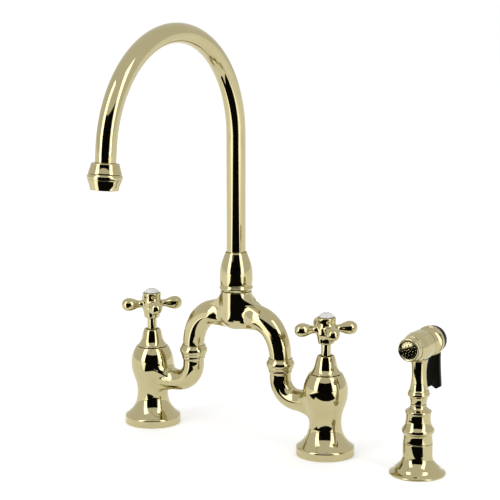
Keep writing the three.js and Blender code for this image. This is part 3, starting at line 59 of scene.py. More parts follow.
TURN = 2 * math.pi

Corner = tuple[float, float]
Place = tuple[float, float, float]
Piece = bpy.types.Object
Socket = bpy.types.NodeSocket


class Slot(Enum):
    """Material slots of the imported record."""

    POLISHED_BRASS = "polished_brass"
    PLAIN_BRASS = "plain_brass"
    STEEL = "steel"
    RUBBER = "rubber"
    NYLON = "nylon"
    CERAMIC = "ceramic"
    PORCELAIN = "porcelain"
    BLACK_PLASTIC = "black_plastic"


class Plane(Enum):
    """Upright plane that a bent pipe lies in."""

    ALONG = "x"
    FORWARD = "y"


@dataclass(frozen=True)
class Ring:
    """Evenly spaced holes: their number, distance from the middle, radius and first bearing."""

    count: int
    reach: float
    radius: float
    first: float = 0.0


# ---------------------------------------------------------------- outlines


def leaning(degrees: float) -> Vector:
    """Returns the direction that leans outwards from straight up by some degrees."""
    angle = math.radians(degrees)
    return Vector((math.sin(angle), math.cos(angle)))


def flow(start: Corner, end: Corner, leave: float = 0, arrive: float = 0, steps: int = 10) -> list[Corner]:
    """Draws an easy curve between two corners of an outline.

    Args:
        start: Radius and height where the curve leaves.
        end: Radius and height where it arrives.
        leave: Lean in degrees at the start.
        arrive: Lean in degrees at the end.
        steps: Number of straight steps.

    Returns:
        The corners, both ends included.
    """
    first, last = Vector(start), Vector(end)
    reach = 0.4 * (last - first).length
    pull_out = first + leaning(leave) * reach
    pull_in = last - leaning(arrive) * reach
    corners = []
    for step in range(steps + 1):
        t = step / steps
        s = 1 - t
        point = s**3 * first + 3 * s * s * t * pull_out + 3 * s * t * t * pull_in + t**3 * last
        corners.append((point.x, point.y))
    return corners


def dome(start: Corner, end: Corner, steps: int = 8) -> list[Corner]:
    """Draws a quarter ellipse that leaves straight up and ends flat.

    Args:
        start: Radius and height of the upright end.
        end: Radius and height of the flat end.
        steps: Number of straight steps.

    Returns:
        The corners, both ends included.
    """
    corners = []
    for step in range(steps + 1):
        angle = TURN / 4 * step / steps
        radius = end[0] + (start[0] - end[0]) * math.cos(angle)
        corners.append((radius, start[1] + (end[1] - start[1]) * math.sin(angle)))
    return corners


def outline_of(*runs: Sequence[Corner]) -> list[Corner]:
    """Strings runs of corners together and drops those that repeat.

    Args:
        runs: Runs of corners, in order.

    Returns:
        The corners.
    """
    corners: list[Corner] = []
    for corner in (corner for run in runs for corner in run):
        if not corners or math.dist(corner, corners[-1]) > 0.001:
            corners.append(corner)
    return corners


# ---------------------------------------------------------------- the bench


def clear_selection() -> None:
    """Leaves nothing selected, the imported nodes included."""
    if bpy.context.object and bpy.context.object.mode != "OBJECT":
        bpy.ops.object.mode_set(mode="OBJECT")
    bpy.ops.object.select_all(action="DESELECT")


def hold(piece: Piece) -> None:
    """Selects one piece alone and makes it the active one.

    Args:
        piece: The piece.
    """
    clear_selection()
    piece.select_set(True)
    bpy.context.view_layer.objects.active = piece


def fix_place(piece: Piece) -> Piece:
    """Puts the place, turn and scale of the active piece into its mesh.

    Args:
        piece: The active piece.

    Returns:
        The piece.
    """
    bpy.ops.object.transform_apply(location=True, rotation=True, scale=True)
    return piece


def settle(piece: Piece, name: str) -> Piece:
    """Names a new piece and puts its place into its mesh.

    Args:
        piece: The new piece.
        name: Its name.

    Returns:
        The piece.
    """
    piece.name = name
    piece.data.name = name
    return fix_place(piece)


def edit(piece: Piece) -> None:
    """Opens a piece for editing, alone and with nothing selected in it.

    Args:
        piece: The piece.
    """
    hold(piece)
    bpy.ops.object.mode_set(mode="EDIT")
    bpy.ops.mesh.select_mode(type="VERT")
    bpy.ops.mesh.select_all(action="DESELECT")


def done() -> None:
    """Closes the open piece."""
    bpy.ops.object.mode_set(mode="OBJECT")


def pick(wanted: Callable[[Vector], bool]) -> int:
    """Adds the corners of the open piece to the selection by their place in millimetres.

    Args:
        wanted: Says whether a corner at that place is picked.

    Returns:
        How many corners were picked.
    """
    mesh = bmesh.from_edit_mesh(bpy.context.object.data)
    found = 0
    for corner in mesh.verts:
        if wanted(corner.co / MM):
            corner.select = True
            found += 1
    mesh.select_flush(True)
    bmesh.update_edit_mesh(bpy.context.object.data)
    return found


def pick_near(places: Iterable[Place]) -> int:
    """Adds the corners that lie at any of some places to the selection."""
    targets = [Vector(place) for place in places]
    return pick(lambda corner: any((corner - target).length < NEAR for target in targets))


def pick_open_edges() -> None:
    """Picks the open edges of the open piece and nothing else."""
    bpy.ops.mesh.select_all(action="DESELECT")
    bpy.ops.mesh.select_non_manifold(
        extend=False,
        use_wire=False,
        use_boundary=True,
        use_multi_face=False,
        use_non_contiguous=False,
        use_verts=False,
    )


def modify(piece: Piece, kind: str, **settings: object) -> None:
    """Adds a modifier to a piece and applies it.

    Args:
        piece: The piece.
        kind: Blender's name for the kind of modifier.
        settings: Values for the modifier.
    """
    hold(piece)
    modifier = piece.modifiers.new(kind.title(), kind)
    for key, value in settings.items():
        setattr(modifier, key, value)
    bpy.ops.object.modifier_apply(modifier=modifier.name)


def soften(piece: Piece, width: float = 0.0, angle: float = 32) -> Piece:
    """Rounds the sharp edges of a piece a little and shades it smooth.

    Args:
        piece: The piece.
        width: Width of the rounding in millimetres, or 0 for none.
        angle: Edges sharper than this many degrees stay crisp.

    Returns:
        The piece.
    """
    if width:
        modify(
            piece,
            "BEVEL",
            width=width * MM,
            segments=2,
            limit_method="ANGLE",
            angle_limit=math.radians(angle),
            harden_normals=False,
        )
    hold(piece)
    bpy.ops.object.shade_smooth_by_angle(angle=math.radians(angle))
    return piece


def clean_up() -> None:
    """Merges doubled corners of the open piece and turns its faces outwards."""
    bpy.ops.mesh.select_all(action="SELECT")
    bpy.ops.mesh.remove_doubles(threshold=JOIN)
    bpy.ops.mesh.normals_make_consistent(inside=False)


def draw_line(name: str, corners: Sequence[Corner], base: Place) -> Piece:
    """Starts a piece from a line of corners and leaves it open for editing.

    Args:
        name: Name of the piece.
        corners: Places across and up.
        base: Place that they are measured from.

    Returns:
        The open piece.
    """
    clear_selection()
    start = Vector(base) + Vector((corners[0][0], 0, corners[0][1]))
    bpy.ops.mesh.primitive_plane_add(size=MM, location=start * MM)
    piece = settle(bpy.context.object, name)
    edit(piece)
    bpy.ops.mesh.select_all(action="SELECT")
    bpy.ops.mesh.merge(type="CENTER")
    for before, after in zip(corners, corners[1:]):
        step = ((after[0] - before[0]) * MM, 0, (after[1] - before[1]) * MM)
        bpy.ops.mesh.extrude_vertices_move(TRANSFORM_OT_translate={"value": step})
    return piece


def turned(name: str, corners: Sequence[Corner], base: Place = (0, 0, 0), sides: int = 96) -> Piece:
    """Turns a piece on an upright axis, as on a lathe.

    Args:
        name: Name of the piece.
        corners: Radii and heights of its outline.
        base: Foot of the axis.
        sides: Number of steps round.

    Returns:
        The closed piece.
    """
    piece = draw_line(name, corners, base)
    ends = (corners[0], corners[-1])
    if min(radius for radius, _ in ends) > 0:
        bpy.ops.mesh.select_all(action="DESELECT")
        pick_near([(base[0] + radius, base[1], base[2] + height) for radius, height in ends])
        bpy.ops.mesh.edge_face_add()
    bpy.ops.mesh.select_all(action="SELECT")
    bpy.ops.mesh.spin(steps=sides, angle=TURN, center=Vector(base) * MM, axis=(0, 0, 1))
    clean_up()
    done()
    return piece


def lay_down(piece: Piece, centre: Place, turn: float, axis: str) -> Piece:
    """Turns a finished piece about a point and puts the turn into its mesh.

    Args:
        piece: The piece.
        centre: The point, in millimetres.
        turn: Degrees, by the right hand about the axis.
        axis: X, Y or Z.

    Returns:
        The piece.
    """
    pivot = Matrix.Translation(Vector(centre) * MM)
    matrix = pivot @ Matrix.Rotation(math.radians(turn), 4, axis) @ pivot.inverted()
    hold(piece)
    piece.matrix_world = matrix @ piece.matrix_world
    return fix_place(piece)


def copied(piece: Piece, name: str) -> Piece:
    """Copies a piece with a mesh of its own.

    Args:
        piece: The piece.
        name: Name of the copy.

    Returns:
        The copy.
    """
    hold(piece)
    bpy.ops.object.duplicate()
    twin = bpy.context.object
    twin.name = name
    twin.data.name = name
    return twin


def mirrored(piece: Piece, name: str) -> Piece:
    """Copies a piece to the other side of the plane between the valves.

    Args:
        piece: The piece.
        name: Name of the copy.

    Returns:
        The copy.
    """
    twin = copied(piece, name)
    twin.scale.x = -1
    edit(fix_place(twin))
    bpy.ops.mesh.select_all(action="SELECT")
    bpy.ops.mesh.normals_make_consistent(inside=False)
    done()
    return twin


def moved(piece: Piece, step: Place) -> Piece:
    """Moves a piece by some millimetres and puts the move into its mesh.

    Args:
        piece: The piece.
        step: How far, along each axis.

    Returns:
        The piece.
    """
    hold(piece)
    piece.location = Vector(step) * MM
    return fix_place(piece)


def cut(piece: Piece, tools: Sequence[Piece], operation: str = "DIFFERENCE") -> Piece:
    """Cuts tools out of a piece, or keeps what lies inside them, and throws the tools away.

    Args:
        piece: The piece.
        tools: The cutting pieces.
        operation: Blender's name for the kind of cut.

    Returns:
        The piece.
    """
    for tool in tools:
        modify(piece, "BOOLEAN", operation=operation, object=tool, solver="EXACT")
        bpy.data.objects.remove(tool)
    return piece


def hole_tools(middle: Place, ring: Ring, span: Corner, sides: int) -> list[Piece]:
    """Makes the cutters of a ring of upright holes.

    Args:
        middle: Middle of the ring in the frame.
        ring: How the holes lie.
        span: Lower and upper end above the middle.
        sides: Steps round each hole.

    Returns:
        The cutters.
    """
    low, high = span
    outline = [(0, low), (ring.radius, low), (ring.radius, high), (0, high)]
    tools = []
    for number in range(ring.count):
        angle = math.radians(ring.first + 360 / ring.count * number)
        base = (middle[0] + ring.reach * math.cos(angle), middle[1] + ring.reach * math.sin(angle), middle[2])
        tools.append(turned("cutter", outline, base, sides))
    return tools


def thread_ridges(radius: float, bottom: float, pitch: float) -> list[Corner]:
    """Returns the ridges of an outside thread that ends just under the deck.

    Args:
        radius: Radius of the plain shank.
        bottom: Height of its lower end.
        pitch: Distance from ridge to ridge.

    Returns:
        Radii and heights.
    """
    root, crest = radius - 0.75, radius - 0.1
    ridges = []
    height = bottom + 1.2
    while height < -pitch:
        ridges += [(root, height), (crest, height + 0.6), (crest, height + 0.8)]
        height += pitch
    return ridges


@dataclass(frozen=True)
class Station:
    """One ring of a bent pipe: its middle, the way it runs and its radius."""

    along: float
    up: float
    heading: float
    radius: float

    def middle(self, plane: Plane, base: Place) -> Vector:
        """Returns the ring's middle in the frame, in millimetres."""
        flat = (self.along, 0, self.up) if plane is Plane.ALONG else (0, self.along, self.up)
        return Vector(base) + Vector(flat)


def bend(centre: Corner, reach: Corner, start: float, end: float, steps: int, radii: Corner) -> list[Station]:
    """Places stations round part of an ellipse.

    Args:
        centre: Middle of the ellipse in its plane.
        reach: Its two half widths.
        start: Angle of the first station in degrees.
        end: Angle of the last station in degrees.
        steps: Number of steps.
        radii: Pipe radius at the start and at the end.

    Returns:
        The stations, both ends included.
    """
    stations = []
    way = 1 if end > start else -1
    for step in range(steps + 1):
        share = step / steps
        angle = math.radians(start + (end - start) * share)
        along = centre[0] + reach[0] * math.cos(angle)
        up = centre[1] + reach[1] * math.sin(angle)
        heading = math.atan2(way * reach[1] * math.cos(angle), -way * reach[0] * math.sin(angle))
        stations.append(Station(along, up, heading, radii[0] + (radii[1] - radii[0]) * share))
    return stations


class Pipe:
    """Grows a ring of edges along stations in the open piece."""

    def __init__(self, stations: Sequence[Station], plane: Plane, base: Place = (0, 0, 0)) -> None:
        """Keeps the stations and the plane that they lie in.

        Args:
            stations: The rings.
            plane: The plane that they lie in.
            base: Place that they are measured from.
        """
        self.stations = stations
        self.plane = plane
        self.base = base

    def grow(self, sides: int, is_closed: bool = True) -> None:
        """Adds the first ring, extrudes it from station to station and closes the last one.

        Args:
            sides: Corners of each ring.
            is_closed: Whether the first ring is closed with a face too.
        """
        first = self.stations[0]
        tilt = TURN / 4 - first.heading
        rotation = (0, tilt, 0) if self.plane is Plane.ALONG else (-tilt, 0, 0)
        bpy.ops.mesh.primitive_circle_add(
            vertices=sides,
            radius=first.radius * MM,
            fill_type="NGON" if is_closed else "NOTHING",
            location=first.middle(self.plane, self.base) * MM,
            rotation=rotation,
        )
        for before, after in zip(self.stations, self.stations[1:]):
            self.step(before, after)
        bpy.ops.mesh.edge_face_add()

    def step(self, before: Station, after: Station) -> None:
        """Extrudes the selected ring from one station to the next.

        Args:
            before: Station of the selected ring.
            after: The next station.
        """
        middle = after.middle(self.plane, self.base)
        shift = (middle - before.middle(self.plane, self.base)) * MM
        if before is self.stations[0]:
            bpy.ops.mesh.select_mode(type="EDGE")
        bpy.ops.mesh.extrude_edges_move(TRANSFORM_OT_translate={"value": shift})
        centre = middle * MM
        swing = math.remainder(after.heading - before.heading, TURN)
        if abs(swing) > STILL:
            axis = "Y" if self.plane is Plane.ALONG else "X"
            way = 1 if self.plane is Plane.ALONG else -1
            bpy.ops.transform.rotate(value=way * swing, orient_axis=axis, center_override=centre)
        scale = after.radius / before.radius
        if abs(scale - 1) > STILL:
            bpy.ops.transform.resize(value=(scale, scale, scale), center_override=centre)


def piped(name: str, stations: Sequence[Station], plane: Plane, sides: int = 96) -> Piece:
    """Makes a closed bent pipe as a piece of its own.

    Args:
        name: Name of the piece.
        stations: Its rings.
        plane: The plane that it lies in.
        sides: Corners of each ring.

    Returns:
        The piece.
    """
    clear_selection()
    bpy.ops.mesh.primitive_plane_add(size=MM)
    piece = settle(bpy.context.object, name)
    edit(piece)
    bpy.ops.mesh.select_all(action="SELECT")
    bpy.ops.mesh.delete(type="VERT")
    Pipe(stations, plane).grow(sides)
    clean_up()
    done()
    return piece


def box_tool(low: Place, high: Place) -> Piece:
    """Makes a cutting block from its two opposite corners.

    Args:
        low: Its left, front, lower corner.
        high: Its right, back, upper corner.

    Returns:
        The block.
    """
    clear_selection()
    first, last = Vector(low), Vector(high)
    bpy.ops.mesh.primitive_cube_add(size=1, location=(first + last) / 2 * MM, scale=(last - first) * MM)
    return settle(bpy.context.object, "cutter")


def drawn(name: str, corners: Sequence[Corner], front: float, thickness: float) -> Piece:
    """Draws a flat shape seen from the front and gives it a thickness towards the back.

    Args:
        name: Name of the piece.
        corners: Its outline, across and up.
        front: Y of its front face.
        thickness: How far it goes back.

    Returns:
        The closed piece.
    """
    piece = draw_line(name, corners, (0, front, 0))
    bpy.ops.mesh.select_all(action="SELECT")
    bpy.ops.mesh.edge_face_add()
    bpy.ops.mesh.extrude_region_move(TRANSFORM_OT_translate={"value": (0, thickness * MM, 0)})
    clean_up()
    done()
    return piece


# ---------------------------------------------------------------- cages

COLUMNS = 16
ARM_COLUMNS = 8
SMOOTHING = 3
SETTLING = 12


def roundness(columns: int) -> float:
    """Returns how far smoothing draws in a ring of some columns."""
    return 2 / 3 + math.cos(TURN / columns) / 3


def is_gentle(corners: Sequence[Vector]) -> bool:
    """Says whether three corners are evenly spaced and turn only a little.

    Args:
        corners: Three corners in a row.

    Returns:
        Whether both hold.
    """
    before, after = corners[1] - corners[0], corners[2] - corners[1]
    if min(before.length, after.length) < 0.4 * max(before.length, after.length):
        return False
    return before.angle(after) < math.radians(38)


def taut(corners: Sequence[Corner], columns: int) -> list[Corner]:
    """Finds the cage outline whose smoothed surface passes through some corners.

    Args:
        corners: Radii and heights that the finished piece has.
        columns: Columns round the cage.

    Returns:
        Radii and heights of the cage.
    """
    wanted = [Vector(corner) for corner in corners]
    cage = [corner.copy() for corner in wanted]
    gentle = [index for index in range(1, len(cage) - 1) if is_gentle(wanted[index - 1 : index + 2])]
    for _ in range(SETTLING):
        held = [cage[0]] + cage + [cage[-1]]
        for index in gentle:
            smooth = (held[index] + 4 * held[index + 1] + held[index + 2]) / 6
            cage[index] = cage[index] + 0.8 * (wanted[index] - smooth)
    return [(corner.x / roundness(columns), corner.y) for corner in cage]


class Cage:
    """A coarse turned form with branches that smoothing blends into one casting."""

    def __init__(self, name: str, outline: Sequence[Corner], base: Place = (0, 0, 0)) -> None:
        """Turns the coarse form.

        Args:
            name: Name of the piece.
            outline: Radii and heights of the finished form.
            base: Foot of the axis.
        """
        self.base = base
        self.piece = turned(name, taut(outline, COLUMNS), base, COLUMNS)

    def open_branch(self, heights: Sequence[float], bearing: float, half_columns: int) -> None:
        """Takes out the corners inside a patch, which leaves a ring of edges.

        Args:
            heights: Finished heights of the lowest and highest row of the patch.
            bearing: Direction of the patch in degrees from +X.
            half_columns: Columns from its middle to its side.
        """
        low, high = heights
        limit = (half_columns - 0.5) * TURN / COLUMNS

        def inside(corner: Vector) -> bool:
            """Says whether a corner lies inside the patch.

            Args:
                corner: The corner, in millimetres.

            Returns:
                Whether it does.
            """
            out = corner - Vector(self.base)
            if math.hypot(out.x, out.y) < 1 or not low < out.z < high:
                return False
            turn = math.remainder(math.atan2(out.y, out.x) - math.radians(bearing), TURN)
            return abs(turn) < limit

        edit(self.piece)
        pick(inside)
        bpy.ops.mesh.delete(type="VERT")
        done()

    def grow_branch(self, stations: Sequence[Station], base: Place = (0, 0, 0)) -> None:
        """Adds a bent pipe and bridges its first ring to the open patch.

        Args:
            stations: Rings of the pipe.
            base: Place that they are measured from.
        """
        edit(self.piece)
        Pipe(stations, Plane.ALONG, base).grow(COLUMNS, is_closed=False)
        bpy.ops.mesh.select_mode(type="EDGE")
        pick_open_edges()
        bpy.ops.mesh.bridge_edge_loops(number_cuts=2, interpolation="SURFACE", smoothness=0.9)
        bpy.ops.mesh.select_mode(type="VERT")
        done()

    def smooth(self) -> Piece:
        """Closes the cage and smooths it.

        Returns:
            The piece.
        """
        edit(self.piece)
        clean_up()
        done()
        modify(self.piece, "SUBSURF", levels=SMOOTHING, render_levels=SMOOTHING, boundary_smooth="ALL")
        return self.piece


# ---------------------------------------------------------------- finishes

COAT_ROUGHNESS = 0.04


class NodeDesk:
    """Adds and links nodes in one tree."""

    def __init__(self, tree: bpy.types.NodeTree) -> None:
        """Keeps the tree."""
        self.tree = tree

    def add(self, kind: str, **values: object) -> bpy.types.Node:
        """Adds a node and sets its properties and unlinked inputs.

        Args:
            kind: Blender's name for the kind of node.
            values: Properties by name, and inputs by socket name with spaces as underscores.

        Returns:
            The node.
        """
        node = self.tree.nodes.new(kind)
        for key, value in values.items():
            if hasattr(node, key):
                setattr(node, key, value)
            else:
                node.inputs[key.replace("_", " ")].default_value = value
        return node

    def link(self, source: Socket, target: Socket) -> None:
        """Links an output to an input."""
        self.tree.links.new(source, target)

    def place(self) -> Socket:
        """Returns the place on the object."""
        return self.add("ShaderNodeTexCoord").outputs["Object"]

    def noise(self, place: Socket, scale: Socket | float, **values: float) -> Socket:
        """Adds a noise over a place and returns its value.

        Args:
            place: Where it is read.
            scale: Its scale, as a number or an output.
            values: Its other inputs by name.

        Returns:
            The output.
        """
        node = self.add("ShaderNodeTexNoise", **values)
        self.link(place, node.inputs["Vector"])
        if isinstance(scale, Socket):
            self.link(scale, node.inputs["Scale"])
        else:
            node.inputs["Scale"].default_value = scale
        return node.outputs["Fac"]

    def combine(self, operation: str, first: Socket, second: Socket | float) -> Socket:
        """Combines two values by a Math node.

        Args:
            operation: Blender's name for the operation.
            first: The first value.
            second: The second value, as a number or an output.

        Returns:
            The output.
        """
        node = self.add("ShaderNodeMath", operation=operation)
        self.link(first, node.inputs[0])
        if isinstance(second, Socket):
            self.link(second, node.inputs[1])
        else:
            node.inputs[1].default_value = second
        return node.outputs[0]

    def seen(self) -> Socket:
        """Returns 1 for the camera, reflections and what shows through, and 0 for soft light.

        Returns:
            The output.
        """
        path = self.add("ShaderNodeLightPath")
        shown = self.combine("MAXIMUM", path.outputs["Is Camera Ray"], path.outputs["Is Glossy Ray"])
        return self.combine("MAXIMUM", shown, path.outputs["Is Transmission Ray"])

    def spread(self, value: Socket, low: float, high: float) -> Socket:
        """Maps a value from 0..1 to another span.

        Args:
            value: The value.
            low: What 0 becomes.
            high: What 1 becomes.

        Returns:
            The output.
        """
        node = self.add("ShaderNodeMapRange")
        node.inputs["To Min"].default_value = low
        node.inputs["To Max"].default_value = high
        self.link(value, node.inputs["Value"])
        return node.outputs["Result"]

    def blend(self, mask: Socket, first: object, second: object) -> Socket:
        """Mixes two colours by a mask.

        Args:
            mask: Share of the second colour.
            first: The first colour, plain or as an output.
            second: The second colour, plain or as an output.

        Returns:
            The output.
        """
        node = self.add("ShaderNodeMix", data_type="RGBA")
        self.link(mask, node.inputs["Factor"])
        for socket, colour in ((node.inputs["A"], first), (node.inputs["B"], second)):
            if isinstance(colour, Socket):
                self.link(colour, socket)
            else:
                socket.default_value = colour
        return node.outputs["Result"]


def shade_of(code: str) -> tuple[float, float, float, float]:
    """Turns an sRGB hex code into a linear colour.

    Args:
        code: Six hex digits.

    Returns:
        Red, green, blue and alpha.
    """
    parts = [int(code[place : place + 2], 16) / 255 for place in (0, 2, 4)]
    linear = [part / 12.92 if part <= 0.04045 else ((part + 0.055) / 1.055) ** 2.4 for part in parts]
    return (*linear, 1.0)


def new_group(name: str, inputs: dict[str, float], outputs: Sequence[str]) -> bpy.types.NodeTree:
    """Starts a shader group whose inputs and outputs are numbers.

    Args:
        name: Name of the group.
        inputs: Default value by input name.
        outputs: Names of the outputs.

    Returns:
        The group's tree.
    """
    tree = bpy.data.node_groups.new(name, "ShaderNodeTree")
    kind = "NodeSocketFloat"
    for label, value in inputs.items():
        tree.interface.new_socket(name=label, in_out="INPUT", socket_type=kind).default_value = value
    for label in outputs:
        tree.interface.new_socket(name=label, in_out="OUTPUT", socket_type=kind)
    return tree


def handling_group() -> bpy.types.NodeTree:
    """Builds the faint patches of wiping and handling on polished metal.

    Returns:
        The group's tree.
    """
    tree = new_group("handling", {"Scale": 30.0}, ("Mask", "Fine"))
    desk = NodeDesk(tree)
    given, result = desk.add("NodeGroupInput"), desk.add("NodeGroupOutput")
    place = desk.place()
    wide = desk.noise(place, given.outputs["Scale"], Detail=4.0, Roughness=0.6, Distortion=0.4)
    ramp = desk.add("ShaderNodeMapRange", interpolation_type="SMOOTHSTEP", From_Min=0.35, From_Max=0.7)
    desk.link(wide, ramp.inputs["Value"])
    desk.link(ramp.outputs["Result"], result.inputs["Mask"])
    desk.link(desk.noise(place, 900.0, Detail=2.0), result.inputs["Fine"])
    return tree


def lathe_group() -> bpy.types.NodeTree:
    """Builds fine turning lines that run round an upright axis.

    Returns:
        The group's tree.
    """
    tree = new_group("lathe_lines", {"Lines": 900.0}, ("Height", "Mask"))
    desk = NodeDesk(tree)
    given, result = desk.add("NodeGroupInput"), desk.add("NodeGroupOutput")
    squeeze = desk.add("ShaderNodeMapping", Scale=(0.02, 0.02, 1.0))
    desk.link(desk.place(), squeeze.inputs["Vector"])
    lines = desk.noise(squeeze.outputs["Vector"], given.outputs["Lines"], Detail=3.0, Roughness=0.7)
    desk.link(lines, result.inputs["Height"])
    desk.link(lines, result.inputs["Mask"])
    return tree


def grain_group() -> bpy.types.NodeTree:
    """Builds the fine moulded grain of plastic, rubber and fired clay.

    Returns:
        The group's tree.
    """
    tree = new_group("moulded_grain", {"Scale": 1500.0}, ("Height", "Cloud"))
    desk = NodeDesk(tree)
    given, result = desk.add("NodeGroupInput"), desk.add("NodeGroupOutput")
    place = desk.place()
    grain = desk.noise(place, given.outputs["Scale"], Detail=4.0, Roughness=0.6)
    desk.link(grain, result.inputs["Height"])
    desk.link(desk.noise(place, 60.0, Detail=3.0), result.inputs["Cloud"])
    return tree


@dataclass(frozen=True)
class Finish:
    """What every finish shares: its slot, colours, gloss, relief and effect."""

    slot: Slot
    dark: str
    light: str
    smooth: float
    rough: float
    relief: float
    metal: float = 0.0
    effect: str = "moulded_grain"
    scale: float = 1500.0
    coat: float = 0.0
    shine: float = 0.5

    def build(self) -> bpy.types.Material:
        """Makes the material with its nodes.

        Returns:
            The material.
        """
        material = bpy.data.materials.new(self.slot.value)
        material.use_nodes = True
        desk = NodeDesk(material.node_tree)
        shader = material.node_tree.nodes["Principled BSDF"]
        shader.inputs["Metallic"].default_value = self.metal
        shader.inputs["Coat Weight"].default_value = self.coat
        shader.inputs["Coat Roughness"].default_value = COAT_ROUGHNESS
        shader.inputs["Specular IOR Level"].default_value = self.shine
        group = desk.add("ShaderNodeGroup", node_tree=bpy.data.node_groups[self.effect])
        group.inputs[0].default_value = self.scale
        relief, patches = self.parts(group)
        colour = desk.blend(patches, shade_of(self.dark), shade_of(self.light))
        colour = self.mark(desk, colour)
        desk.link(colour, shader.inputs["Base Color"])
        desk.link(desk.spread(patches, self.smooth, self.rough), shader.inputs["Roughness"])
        bump = desk.add("ShaderNodeBump", Distance=0.001, Strength=self.relief)
        desk.link(relief, bump.inputs["Height"])
        desk.link(bump.outputs["Normal"], shader.inputs["Normal"])
        return material

    def parts(self, group: bpy.types.Node) -> tuple[Socket, Socket]:
        """Returns the relief and the patches of the effect."""
        return group.outputs[0], group.outputs[1]

    def mark(self, desk: NodeDesk, colour: Socket) -> Socket:
        """Returns the colour with the finish's own marks on it, here none."""
        return colour


@dataclass(frozen=True)
class Polished(Finish):
    """Polished metal, whose gloss changes a little where it is handled."""

    metal: float = 1.0
    effect: str = "handling"
    scale: float = 28.0

    def parts(self, group: bpy.types.Node) -> tuple[Socket, Socket]:
        """Returns the fine relief and the handled patches."""
        return group.outputs["Fine"], group.outputs["Mask"]


@dataclass(frozen=True)
class Turned(Finish):
    """Metal as it comes off the lathe, with its fine lines."""

    metal: float = 1.0
    effect: str = "lathe_lines"
    scale: float = 900.0


@dataclass(frozen=True)
class Glazed(Finish):
    """White glaze with the small grey ring in the middle of each button."""

    scale: float = 500.0
    coat: float = 0.6
    ring: float = 2.3
    line: float = 0.45
    ink: str = "8d8f8f"

    def mark(self, desk: NodeDesk, colour: Socket) -> Socket:
        """Returns the colour with the plain grey ring.

        Args:
            desk: The material's nodes.
            colour: The colour without marks.

        Returns:
            The colour with the ring.
        """
        split = desk.add("ShaderNodeSeparateXYZ")
        desk.link(desk.place(), split.inputs["Vector"])
        across = desk.add("ShaderNodeMath", operation="ABSOLUTE")
        desk.link(split.outputs["X"], across.inputs[0])
        flat = desk.add("ShaderNodeCombineXYZ")
        desk.link(desk.combine("SUBTRACT", across.outputs[0], VALVE_X * MM), flat.inputs["X"])
        desk.link(split.outputs["Y"], flat.inputs["Y"])
        reach = desk.add("ShaderNodeVectorMath", operation="LENGTH")
        desk.link(flat.outputs["Vector"], reach.inputs[0])
        band = desk.add("ShaderNodeMath", operation="COMPARE")
        band.inputs[1].default_value = self.ring * MM
        band.inputs[2].default_value = self.line * MM
        desk.link(reach.outputs["Value"], band.inputs[0])
        return desk.blend(band.outputs[0], colour, shade_of(self.ink))


class Finishes:
    """All finishes by slot, built once."""

    def __init__(self) -> None:
        """Builds the shared effects and every material."""
        handling_group()
        lathe_group()
        grain_group()
        kinds = (
            Polished(Slot.POLISHED_BRASS, "bfb58a", "c3b98f", 0.035, 0.075, 0.004),
            Turned(Slot.PLAIN_BRASS, "b08f49", "c8a962", 0.24, 0.36, 0.1),
            Turned(Slot.STEEL, "a6a8aa", "c3c5c6", 0.22, 0.36, 0.1),
            Finish(Slot.RUBBER, "19191b", "242427", 0.6, 0.8, 0.12, scale=2200.0),
            Finish(Slot.NYLON, "cfccc0", "dedbd0", 0.4, 0.55, 0.06, scale=1800.0),
            Finish(Slot.CERAMIC, "dfdbcf", "ece9e0", 0.22, 0.34, 0.03, scale=1600.0),
            Glazed(Slot.PORCELAIN, "e9e8e4", "f1f0ec", 0.06, 0.12, 0.008),
            Finish(Slot.BLACK_PLASTIC, "040405", "070708", 0.3, 0.4, 0.03, shine=0.15),
        )
        self.by_slot = {kind.slot: kind.build() for kind in kinds}

    def dress(self, piece: Piece, slot: Slot, body: str, *nodes: str) -> Piece:
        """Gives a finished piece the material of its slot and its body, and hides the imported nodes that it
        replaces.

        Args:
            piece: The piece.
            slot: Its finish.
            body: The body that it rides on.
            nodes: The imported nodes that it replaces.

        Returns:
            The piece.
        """
        piece.data.materials.clear()
        piece.data.materials.append(self.by_slot[slot])
        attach(piece, body)
        if nodes:
            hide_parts(*nodes)
        LOG.info("%s: %d faces, %s, on %s", piece.name, len(piece.data.polygons), slot.value, body)
        return piece

    def dress_pair(self, right: Piece, left: Piece, slot: Slot, body: str, node: str) -> None:
        """Dresses a right-hand piece and its twin, named alike but for the side.

        Args:
            right: The right-hand piece.
            left: Its twin.
            slot: Their finish.
            body: The body that the right one rides on.
            node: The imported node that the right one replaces.
        """
        self.dress(right, slot, body, node)
        self.dress(left, slot, left_name(body), left_name(node))

    def dress_nodes(self) -> None:
        """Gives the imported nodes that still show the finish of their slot."""
        for entry in frame["record"]["subparts"]:
            node = frame["nodes"][entry["node"]]
            for place in node.material_slots:
                place.material = self.by_slot[Slot(entry["material_slot"])]


# ---------------------------------------------------------------- layout

VALVE_X = 101.6
UNION_X = 50.8
SPRAYER: Place = (203.2, -5.0, 0.0)
RIGHT: Place = (VALVE_X, 0.0, 0.0)
TO_LEFT: Place = (-2 * VALVE_X, 0.0, 0.0)
COUNTER = 30.0
PITCH = 1.5


def left_name(name: str) -> str:
    """Returns the name that the left-hand twin has."""
    return name.replace("right", "left")


def left_twin(right: Piece, step: Place = TO_LEFT) -> Piece:
    """Copies a right-hand piece to the left."""
    return moved(copied(right, left_name(right.name)), step)


@dataclass
class SubAssembly:
    """Group of pieces that are built together and dressed from the same finishes."""

    finishes: Finishes


